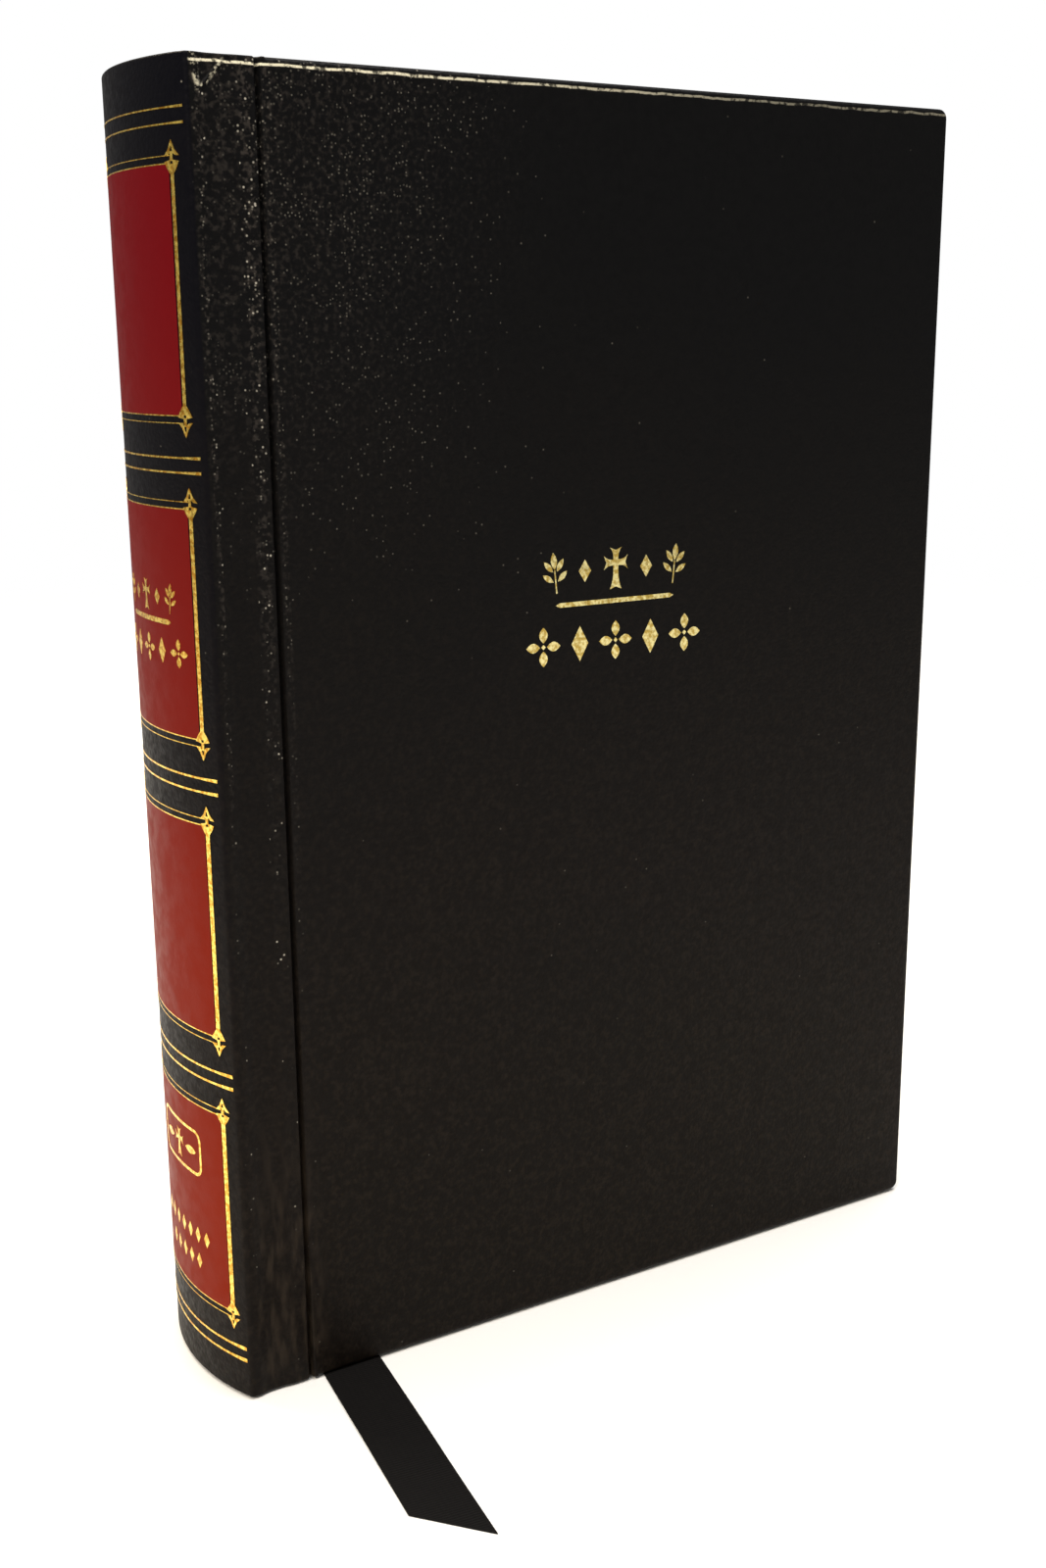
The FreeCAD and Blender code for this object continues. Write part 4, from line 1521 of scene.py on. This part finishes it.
@dataclass
class MarkerRibbon:
    """The free end of the marker: out of the tail of the leaves and across the table."""

    plan: Layout
    looks: Finishes
    width: float = 9.5 * MM
    thick: float = 0.2 * MM
    slant: float = 4.3 * MM
    length: float = 59.5 * MM
    # Middle of the ribbon, from the leaves' tail down to the table and out past the front cover.
    route: tuple[tuple[float, float, float], ...] = (
        (-44.2, 0.0, 3.6), (-44.2, 0.0, 1.7), (-44.25, -0.7, 0.12), (-44.5, -3.4, 0.1), (-45.6, -12.0, 0.12),
        (-47.0, -23.5, 0.22), (-48.4, -35.0, 0.3), (-49.8, -46.5, 0.16), (-51.0, -56.9, 0.14))
    across: tuple[float, float, float] = (0.9930, -0.1184, 0.0)
    rows: int = 90
    columns: int = 12

    def path(self) -> list[Vector]:
        """Reads the route's smooth spline.

        Returns:
            Its points, from the leaves' tail to the free end.
        """
        curve = bpy.data.curves.new("marker_route", "CURVE")
        curve.dimensions = "3D"
        curve.resolution_u = 10
        spline = curve.splines.new("NURBS")
        spline.points.add(len(self.route) - 1)
        for point, (x, y, z) in zip(spline.points, self.route):
            point.co = (x * MM, y * MM, z * MM, 1.0)
        spline.order_u = 3
        spline.use_endpoint_u = True
        host = bpy.data.objects.new("marker_route", curve)
        bpy.context.scene.collection.objects.link(host)
        line = bpy.data.meshes.new_from_object(host)
        points = [v.co.copy() for v in line.vertices]
        bpy.data.objects.remove(host)
        bpy.data.meshes.remove(line)
        return points

    def build(self) -> None:
        """Makes the ribbon's free end."""
        points = self.path()
        spans = [0.0]
        for a, b in zip(points, points[1:]):
            spans.append(spans[-1] + (b - a).length)
        total = spans[-1]

        def frame_at(s: float) -> tuple[Vector, Vector, Vector]:
            """Where the ribbon is and how it lies.

            Args:
                s: distance along it.

            Returns:
                Its middle there, the direction across it and the direction out of it.
            """
            i = max(k for k in range(len(spans) - 1) if spans[k] <= max(0.0, min(s, total - 1e-9)))
            along = (points[i + 1] - points[i]).normalized()
            across = Vector(self.across)
            return points[i] + along * (s - spans[i]), across, across.cross(along).normalized()

        rows, columns = self.rows, self.columns
        mesh = bmesh.new()
        layer = mesh.loops.layers.uv.new("UVMap")
        maps: dict[bmesh.types.BMVert, Point2] = {}
        rings = []
        for i in range(rows + 1):
            ring = []
            for j in range(columns + 1):
                u = -1 + 2 * j / columns
                t = i / rows
                s = t * (total + self.slant * u * t ** 6)
                at, across, out = frame_at(s)
                edge = self.thick * (0.5 if abs(u) < 0.99 else 0.3)
                for k, lift in enumerate((edge, -edge)):
                    spot = at + across * (u * self.width / 2) + out * lift
                    spot.z = max(spot.z, 0.01 * MM if k else 0.0)
                    vert = mesh.verts.new(spot)
                    maps[vert] = (u * self.width / 2, s)
                    ring.append(vert)
            rings.append(ring)
        for a, b in zip(rings, rings[1:]):
            for j in range(columns):
                n = 2 * j
                mesh.faces.new((a[n], a[n + 2], b[n + 2], b[n]))
                mesh.faces.new((a[n + 1], b[n + 1], b[n + 3], a[n + 3]))
            mesh.faces.new((a[0], b[0], b[1], a[1]))
            mesh.faces.new((a[-2], a[-1], b[-1], b[-2]))
        for ring in (rings[0], rings[-1]):
            for j in range(columns):
                n = 2 * j
                mesh.faces.new((ring[n], ring[n + 1], ring[n + 3], ring[n + 2]))
        for face in mesh.faces:
            for loop in face.loops:
                loop[layer].uv = maps[loop.vert]
        data = close_mesh("marker_free_end", mesh)
        piece = new_piece("marker_free_end", data, self.looks.satin)
        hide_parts("ribbon_marker_end")
        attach(piece, "spine")


# ---------------------------------------------------------------- stamping


def lens(length: float, width: float, steps: int = 6) -> Outline:
    """A leaf outline, pointed at both ends, along the upright axis.

    Args:
        length: from point to point.
        width: across its middle.
        steps: points along one side.

    Returns:
        The outline about its middle.
    """
    half = [(width / 2 * math.sin(math.pi * i / steps) ** 0.9, length * (i / steps - 0.5))
            for i in range(steps)]
    return half + [(-x, -y) for x, y in half]


def lozenge(height: float, width: float) -> Outline:
    """An upright lozenge."""
    return [(0, -height / 2), (width / 2, 0), (0, height / 2), (-width / 2, 0)]


def moved(shape: Outline, x: float, y: float) -> Outline:
    """The outline moved."""
    return [(a + x, b + y) for a, b in shape]


def turned(shape: Outline, degrees: float) -> Outline:
    """The outline turned anticlockwise about the origin."""
    c, s = math.cos(math.radians(degrees)), math.sin(math.radians(degrees))
    return [(c * a - s * b, s * a + c * b) for a, b in shape]


def bar(x0: float, x1: float, y0: float, y1: float) -> Outline:
    """An upright rectangle."""
    return [(x0, y0), (x1, y0), (x1, y1), (x0, y1)]


def ring_shapes(width: float, height: float, corner: float, line: float) -> list[Outline]:
    """A rounded frame as a run of quads.

    Args:
        width: outer width.
        height: outer height.
        corner: outer corner radius.
        line: width of the line.

    Returns:
        The quads.
    """
    def rim(inset: float) -> Outline:
        """The rounded outline, moved inwards.

        Args:
            inset: how far in.

        Returns:
            The outline, anticlockwise.
        """
        r = corner - inset
        made = []
        for quarter, (sx, sy) in enumerate(((1, 1), (-1, 1), (-1, -1), (1, -1))):
            x, y = sx * (width / 2 - corner), sy * (height / 2 - corner)
            for a in evenly(QUARTER * quarter, QUARTER * (quarter + 1), 5):
                made.append((x + r * math.cos(a), y + r * math.sin(a)))
        return made

    outer, inner = rim(0.0), rim(line)
    count = len(outer)
    return [[outer[i], outer[(i + 1) % count], inner[(i + 1) % count], inner[i]] for i in range(count)]


def cross(height: float) -> list[Outline]:
    """A plain cross whose arms widen in a curve to their ends.

    Args:
        height: its height.

    Returns:
        Its middle and its four arms.
    """
    narrow, wide = height * 0.07, height * 0.17
    shapes = [moved(bar(-narrow, narrow, -narrow, narrow), 0, height * 0.14)]
    for degrees, length in ((0, 0.36), (90, 0.34), (180, 0.64), (270, 0.34)):
        reach = height * length - narrow
        flare = [(narrow + (wide - narrow) * (i / 5) ** 3, narrow + reach * i / 5) for i in range(6)]
        arm = [(-x, y) for x, y in flare] + [(0, height * length - wide * 0.4)] + list(reversed(flare))
        shapes.append(moved(turned(arm, degrees), 0, height * 0.14))
    return shapes


def petals(size: float) -> list[Outline]:
    """Four pointed petals about a small lozenge.

    Args:
        size: from tip to tip.

    Returns:
        The petals and the lozenge.
    """
    length = size * 0.4
    petal = moved(lens(length, size * 0.25), 0, size * 0.1 + length / 2)
    return [turned(petal, a) for a in (0, 90, 180, 270)] + [lozenge(size * 0.13, size * 0.13)]


def sprig(height: float, side: int) -> list[Outline]:
    """A sprig of leaves on a thin stalk, leaning to one side.

    Args:
        height: its height.
        side: 1 where it leans to +X, -1 where it leans to -X.

    Returns:
        The leaves and the stalk.
    """
    leaves = [moved(lens(height * 0.42, height * 0.17), 0, height * 0.29),
              bar(-height * 0.018, height * 0.018, -height * 0.5, height * 0.07)]
    for y, turn in ((0.0, 38), (-0.24, 52)):
        for way in (-1, 1):
            leaf = moved(lens(height * 0.36, height * 0.14), 0, height * 0.22)
            leaves.append(moved(turned(leaf, -way * turn), way * height * 0.03, y * height))
    return [turned(leaf, -side * 6) for leaf in leaves]


def ornament(scale: float) -> list[Outline]:
    """The stamp of the book: cross and sprigs over a rule and a row of petals and lozenges.

    Args:
        scale: its size, 1 on the cover.

    Returns:
        Its outlines in millimetres, about the rule's middle.
    """
    pitch = 6.5 * scale
    top, low = 4.9 * scale, -6.1 * scale
    shapes = [moved(s, 0, top) for s in cross(6.4 * scale)]
    for side in (-1, 1):
        shapes.append(moved(lozenge(3.4 * scale, 2.2 * scale), side * pitch * 0.86, top))
        shapes += [moved(s, side * pitch * 1.68, top) for s in sprig(6.2 * scale, side)]
    half, thin, taper = 10.8 * scale, 0.35, 0.7
    shapes.append([(-half, 0), (-half + taper, -thin), (half - taper, -thin), (half, 0),
                   (half - taper, thin), (-half + taper, thin)])
    for i in (-2, 0, 2):
        shapes += [moved(s, i * pitch, low) for s in petals(6.0 * scale)]
    for i in (-1, 1):
        shapes.append(moved(lozenge(5.4 * scale, 3.0 * scale), i * pitch, low))
    return shapes


Lift = tuple[float, float]


@dataclass
class Stamping:
    """Everything stamped in foil on the spine and the front cover."""

    plan: Layout
    looks: Finishes
    base: float = -0.02 * MM
    foil: float = 0.05 * MM
    labels: int = 4
    label_inset: float = 3.8
    frame_inset: float = 3.2
    frame_widths: tuple[float, ...] = (0.64, 0.7, 0.78, 0.84)
    rule_inset: float = 0.75
    rule_widths: tuple[float, ...] = (0.38, 0.34, 0.3, 0.26, 0.2)
    column: float = 1.0
    # From the lowest label's lower edge down to the lowest pair of rules, and half the pair's spread.
    rule_drop: float = 6.55
    rule_spread: float = 0.975
    # A rule's ends: how far in its tip and its flare start, and its half width there and in the middle,
    # as a share of its own half width.
    rule_tip: float = 0.5
    rule_taper: float = 3.6
    rule_flare: float = 1.6
    rule_waist: float = 0.9
    # The frames' thin lines beyond the label's edges: where each starts and ends.
    frame_lines: tuple[Point2, ...] = ((0.0, 0.16), (0.98, 1.1))
    spine_scale: float = 0.68
    cover_rule: float = 115.9
    badge_middle: float = 23.3
    badge_size: Point2 = (14.5, 7.5)
    badge_corner: float = 1.8
    badge_line: float = 0.5
    badge_cross: float = 4.65
    badge_leaf: Point2 = (3.4, 1.3)
    badge_leaf_at: float = 4.06
    # The rows of lozenges under the badge: height over the label's lower edge, and how many.
    rows: tuple[tuple[float, int], ...] = ((9.6, 7), (5.3, 5))
    row_pitch: float = 2.5
    row_lozenge: Point2 = (2.6, 1.5)

    @property
    def half_run(self) -> float:
        """Distance along the back from its middle to a ridge, in millimetres."""
        return self.plan.radius * self.plan.half_angle / MM

    def cut_columns(self, part: bmesh.types.BMesh, shape: Outline) -> None:
        """Cuts a wide outline into upright columns, so that it can lie round the back.

        Args:
            part: the outline as one face.
            shape: the outline in millimetres.
        """
        left, right = min(x for x, _ in shape), max(x for x, _ in shape)
        if right - left <= 2 * self.column:
            return
        for k in range(math.ceil(left / self.column), math.floor(right / self.column) + 1):
            geometry = part.verts[:] + part.edges[:] + part.faces[:]
            bmesh.ops.bisect_plane(part, geom=geometry, dist=1e-9, plane_co=(k * self.column * MM, 0, 0),
                                   plane_no=(1, 0, 0))

    def press(self, name: str, groups: Sequence[tuple[Sequence[Outline], Lift]], node: str,
              material: bpy.types.Material, place: Callable[[float, float, float], Vector],
              body: str) -> None:
        """Makes one piece of foil from flat outlines.

        Args:
            name: the piece's name.
            groups: outlines in millimetres, with the heights of their under and upper faces in metres.
            node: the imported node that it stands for.
            material: its material.
            place: puts a point of the drawing, in metres, on to the book.
            body: the body that it rides on.
        """
        mesh = bmesh.new()
        for shapes, (low, high) in groups:
            for shape in shapes:
                part = bmesh.new()
                part.faces.new([part.verts.new((x * MM, y * MM, 0)) for x, y in shape])
                self.cut_columns(part, shape)
                bmesh.ops.triangulate(part, faces=[f for f in part.faces if len(f.verts) > 4])
                grown = bmesh.ops.extrude_face_region(part, geom=part.faces[:], use_keep_orig=True)
                raised = {v for v in grown["geom"] if isinstance(v, bmesh.types.BMVert)}
                for vert in part.verts:
                    vert.co = place(vert.co.x, vert.co.y, high if vert in raised else low)
                bmesh.ops.recalc_face_normals(part, faces=part.faces)
                data = bpy.data.meshes.new("part")
                part.to_mesh(data)
                part.free()
                mesh.from_mesh(data)
                bpy.data.meshes.remove(data)
        piece = new_piece(name, self.finished(name, mesh), material)
        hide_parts(node)
        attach(piece, body)

    @staticmethod
    def finished(name: str, build: bmesh.types.BMesh) -> bpy.types.Mesh:
        """Turns pressed outlines to a mesh without joining those that touch.

        Args:
            name: the mesh's name.
            build: the outlines, which are freed.

        Returns:
            The mesh.
        """
        mesh = bpy.data.meshes.new(name)
        build.to_mesh(mesh)
        build.free()
        mesh.shade_smooth()
        mesh.set_sharp_from_angle(angle=math.radians(SMOOTH_BELOW))
        return mesh

    def on_spine(self, x: float, y: float, lift: float) -> Vector:
        """Puts a point of a drawing on to the round back."""
        return self.plan.on_back(x, lift, y)

    def on_cover(self, x: float, y: float, lift: float) -> Vector:
        """Puts a point of a drawing on to the front cover."""
        return Vector((x, -self.plan.face - lift, y))

    def label_spans(self) -> list[Point2]:
        """Reads where the labels lie.

        Returns:
            Their lower and upper edges, from the top label down, in millimetres.
        """
        spans = []
        for i in range(self.labels):
            low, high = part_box(f"spine_label_{i + 1}")
            spans.append((low.z / MM, high.z / MM))
        return spans

    def fleuron(self, x: float, y: float, way: int) -> list[Outline]:
        """A finial on a corner of a frame.

        Args:
            x: middle of the frame's side.
            y: the label's edge.
            way: 1 above the label, -1 below it.

        Returns:
            A spearhead in two halves with a slit between, a neck, and a cup below.
        """
        half = 1.45
        blade = [(0.12, 2.75), (0.62, 1.75), (half, 0.95), (0.7, 1.02), (0.34, 1.28), (0.12, 1.9)]
        shapes = [blade, [(-a, b) for a, b in reversed(blade)]]
        shapes.append([(0, 2.95), (0.3, 2.3), (0.12, 2.1), (-0.12, 2.1), (-0.3, 2.3)])
        shapes.append(bar(-0.26, 0.26, 0.35, 1.5))
        cup = [(0.2, 0.5), (half * 0.95, 0.28), (0.98, -0.42), (0.4, -1.15), (0.22, -1.15), (0.3, -0.35)]
        shapes += [cup, [(-a, b) for a, b in reversed(cup)]]
        return [moved([(a, way * b) for a, b in s], x, y) for s in shapes]

    def frame(self, low: float, high: float, width: float) -> tuple[list[Outline], list[Outline]]:
        """Gold frame of one label.

        Args:
            low: the label's lower edge.
            high: its upper edge.
            width: how wide its upright lines are.

        Returns:
            The lines, and the finials that lie over them.
        """
        side = self.half_run - self.frame_inset
        half = width / 2
        lines = [bar(x - half, x + half, low, high) for x in (-side, side)]
        for y, way in ((low, -1), (high, 1)):
            for start, end in self.frame_lines:
                lines.append(bar(-side + half, side - half, y + way * start, y + way * end))
        finials = []
        for x in (-side, side):
            finials += self.fleuron(x, low, -1) + self.fleuron(x, high, 1)
        return lines, finials

    def build_spine(self) -> None:
        """Stamps the spine."""
        gold, flat = self.looks.gold, (self.base, self.foil)
        above = (self.foil * 0.6, self.foil * 1.9)
        spans = self.label_spans()
        edge = self.half_run - self.label_inset
        for i, (low, high) in enumerate(spans):
            self.press(f"red_label_{i + 1}", [([bar(-edge, edge, low, high)], flat)], f"spine_label_{i + 1}",
                       self.looks.red, self.on_spine, "spine")
        lines, finials = [], []
        for (low, high), width in zip(spans, self.frame_widths):
            made = self.frame(low, high, width)
            lines += made[0]
            finials += made[1]
        self.press("gold_label_frames", [(lines, flat), (finials, (self.base, self.foil * 1.5))],
                   "spine_label_frames", gold, self.on_spine, "spine")
        pitch = spans[0][0] - spans[1][0]
        reach = self.half_run - self.rule_inset
        rules = []
        for i, width in enumerate(self.rule_widths):
            middle = spans[-1][0] - self.rule_drop + i * pitch
            for way in (-1, 1):
                y, w = middle + way * self.rule_spread, width / 2
                half = [(reach, w * self.rule_flare), (reach - self.rule_tip, w * self.rule_flare),
                        (reach - self.rule_taper, w), (0.0, w * self.rule_waist)]
                for sx in (-1, 1):
                    under = [(sx * x, y - rise) for x, rise in half]
                    rules.append(under + [(sx * x, y + rise) for x, rise in reversed(half)])
        self.press("gold_spine_rules", [(rules, flat)], "spine_rules", gold, self.on_spine,
                   "spine")
        low, high = spans[1]
        stamp = [moved(s, 0, (low + high) / 2) for s in ornament(self.spine_scale)]
        self.press("gold_spine_ornament", [(stamp, above)], "spine_stamp", gold, self.on_spine,
                   "spine")
        self.press("gold_spine_badge", [(self.badge(spans[-1][0]), above)], "spine_emblem", gold,
                   self.on_spine, "spine")

    def badge(self, low: float) -> list[Outline]:
        """The badge and two small rows on the lowest label.

        Args:
            low: the label's lower edge.

        Returns:
            Their outlines.
        """
        middle = low + self.badge_middle
        frame = ring_shapes(*self.badge_size, self.badge_corner, self.badge_line)
        shapes = [moved(s, 0, middle) for s in frame]
        shapes += [moved(s, 0, middle - 0.2) for s in cross(self.badge_cross)]
        leaf = turned(lens(*self.badge_leaf), 90)
        shapes += [moved(leaf, way * self.badge_leaf_at, middle) for way in (-1, 1)]
        for y, count in self.rows:
            for i in range(count):
                at = (i - (count - 1) / 2) * self.row_pitch
                shapes.append(moved(lozenge(*self.row_lozenge), at, low + y))
        return shapes

    def build(self) -> None:
        """Stamps the spine and the front cover."""
        self.build_spine()
        low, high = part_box("cover_stamp")
        middle_x = (low.x + high.x) / 2 / MM
        shapes = [moved(s, middle_x, self.cover_rule) for s in ornament(1.0)]
        self.press("gold_cover_ornament", [(shapes, (self.base, self.foil))], "cover_stamp",
                   self.looks.pale_gold, self.on_cover, "front_cover")


# ---------------------------------------------------------------- studio


@dataclass(frozen=True)
class Lamp:
    """One soft rectangular light: where it hangs, what it points at, its sides, watts and colour."""

    name: str
    at: tuple[float, float, float]
    to: tuple[float, float, float]
    sides: Point2
    power: float
    colour: str

    def hang(self) -> None:
        """Adds the light."""
        data = bpy.data.lights.new(self.name, "AREA")
        data.shape = "RECTANGLE"
        data.size, data.size_y = self.sides
        data.energy = self.power
        data.color = linear(self.colour)[:3]
        light = bpy.data.objects.new(self.name, data)
        bpy.context.scene.collection.objects.link(light)
        light.location = self.at
        light.rotation_euler = (Vector(self.to) - Vector(self.at)).to_track_quat("-Z", "Y").to_euler()


@dataclass
class Studio:
    """Floor, lights and camera."""

    lamps: tuple[Lamp, ...] = (
        Lamp("key", (-0.75, -0.5, 1.05), (0, 0, 0.1), (0.5, 0.5), 11, "fff4e2"),
        Lamp("overhead", (0.2, -0.1, 1.6), (0, 0, 0.05), (1.2, 1.2), 26, "ffffff"),
        Lamp("rim", (-0.1, 0.5, 0.75), (0, 0, 0.18), (0.6, 0.2), 5, "fff0d8"))
    surround: tuple[float, float, float, float] = (1.0, 0.97, 0.93, 1.0)
    surround_strength: float = 0.3
    floor: float = 1.1
    floor_colour: str = "f6f5f3"
    floor_fade: Point2 = (0.4, 0.95)
    floor_drop: float = 0.02 * MM
    yaw: float = 30.82
    pitch: float = 14.10
    roll: float = -0.49
    lens: float = 40.6
    sensor: float = 36.0
    position: tuple[float, float, float] = (-147.96 * MM, -239.48 * MM, 154.64 * MM)

    def build_floor(self) -> None:
        """A pale floor that fades into the white surround."""
        mesh = bmesh.new()
        bmesh.ops.create_circle(mesh, cap_ends=True, segments=96, radius=self.floor)
        data = bpy.data.meshes.new("floor")
        mesh.to_mesh(data)
        mesh.free()
        p = Pattern("studio_floor")
        far = add_node(p.tree, "ShaderNodeVectorMath", {0: p.place.outputs["Object"]}, operation="LENGTH")
        fade = p.step(far.outputs["Value"], *self.floor_fade)
        paint = add_node(p.tree, "ShaderNodeBsdfDiffuse", {"Color": linear(self.floor_colour)})
        clear = add_node(p.tree, "ShaderNodeBsdfTransparent")
        both = add_node(p.tree, "ShaderNodeMixShader", {0: fade, 1: paint.outputs[0], 2: clear.outputs[0]})
        add_node(p.tree, "ShaderNodeOutputMaterial", {"Surface": both.outputs[0]})
        floor = bpy.data.objects.new("floor", data)
        bpy.context.scene.collection.objects.link(floor)
        data.materials.append(p.material)
        floor.location.z = -self.floor_drop
        floor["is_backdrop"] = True

    def build_surround(self) -> None:
        """White surround that lights the book softly."""
        world = bpy.data.worlds.new("surround")
        bpy.context.scene.world = world
        world.use_nodes = True
        tree = world.node_tree
        tree.nodes.clear()
        rays = add_node(tree, "ShaderNodeLightPath")
        soft = add_node(tree, "ShaderNodeBackground", {"Color": self.surround,
                                                       "Strength": self.surround_strength})
        white = add_node(tree, "ShaderNodeBackground", {"Color": (1.0, 1.0, 1.0, 1.0), "Strength": 1.0})
        both = add_node(tree, "ShaderNodeMixShader", {0: rays.outputs["Is Camera Ray"], 1: soft.outputs[0],
                                                      2: white.outputs[0]})
        add_node(tree, "ShaderNodeOutputWorld", {"Surface": both.outputs[0]})

    def build_camera(self) -> None:
        """Sets the camera up."""
        data = bpy.data.cameras.new("camera")
        data.lens = self.lens
        data.sensor_width = self.sensor
        data.clip_start = 0.01
        camera = bpy.data.objects.new("camera", data)
        bpy.context.scene.collection.objects.link(camera)
        yaw, pitch, roll = (math.radians(a) for a in (self.yaw, self.pitch, self.roll))
        forward = Vector((math.sin(yaw) * math.cos(pitch), math.cos(yaw) * math.cos(pitch), -math.sin(pitch)))
        right = Vector((math.cos(yaw), -math.sin(yaw), 0))
        up = right.cross(forward)
        right, up = (right * math.cos(roll) + up * math.sin(roll),
                     up * math.cos(roll) - right * math.sin(roll))
        camera.rotation_mode = "QUATERNION"
        camera.location = self.position
        turn = camera.matrix_world.to_3x3()
        for i, axis in enumerate((right, up, -forward)):
            turn.col[i] = axis
        camera.rotation_quaternion = turn.to_quaternion()
        bpy.context.scene.camera = camera

    def build(self) -> None:
        """Sets the studio up."""
        bpy.context.scene.view_settings.view_transform = "Standard"
        self.build_floor()
        self.build_surround()
        for lamp in self.lamps:
            lamp.hang()
        self.build_camera()


def dress_inner_nodes(frame: dict[str, Any], looks: Finishes) -> None:
    """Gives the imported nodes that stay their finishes.

    Args:
        looks: the finishes.
    """
    finish = {"front_board": looks.board, "back_board": looks.board, "spine_card": looks.board,
              "spine_lining": looks.kraft, "spine_mull": looks.mull, "spine_glue": looks.glue,
              "sewing_thread": looks.thread, "ribbon_marker": looks.flat_satin}
    for node, material in finish.items():
        piece = frame["nodes"][node]
        piece.data.materials.clear()
        piece.data.materials.append(material)
        LOG.info("%s: %s", node, material.name)


def main() -> dict[str, Any]:
    """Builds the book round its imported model.
    """
    logging.basicConfig(level=logging.INFO, format="%(name)s %(message)s")
    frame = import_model()
    sizes = {"cad": [list(corner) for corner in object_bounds()]}
    Studio().build()
    plan, looks = Layout.from_frame(), Finishes()
    MarkerRibbon(plan, looks).build()
    spine = SpineCase(plan, looks)
    spine.build()
    for side in Side:
        Joint(plan, looks, side, spine.joint_start()).build()
        Cover(plan, looks, side).build()
    TextBlock(plan, looks).build()
    Stamping(plan, looks).build()
    dress_inner_nodes(frame, looks)
    sizes["visual"] = [list(corner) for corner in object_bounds()]
    return sizes


if __name__ == "__main__":
    main()
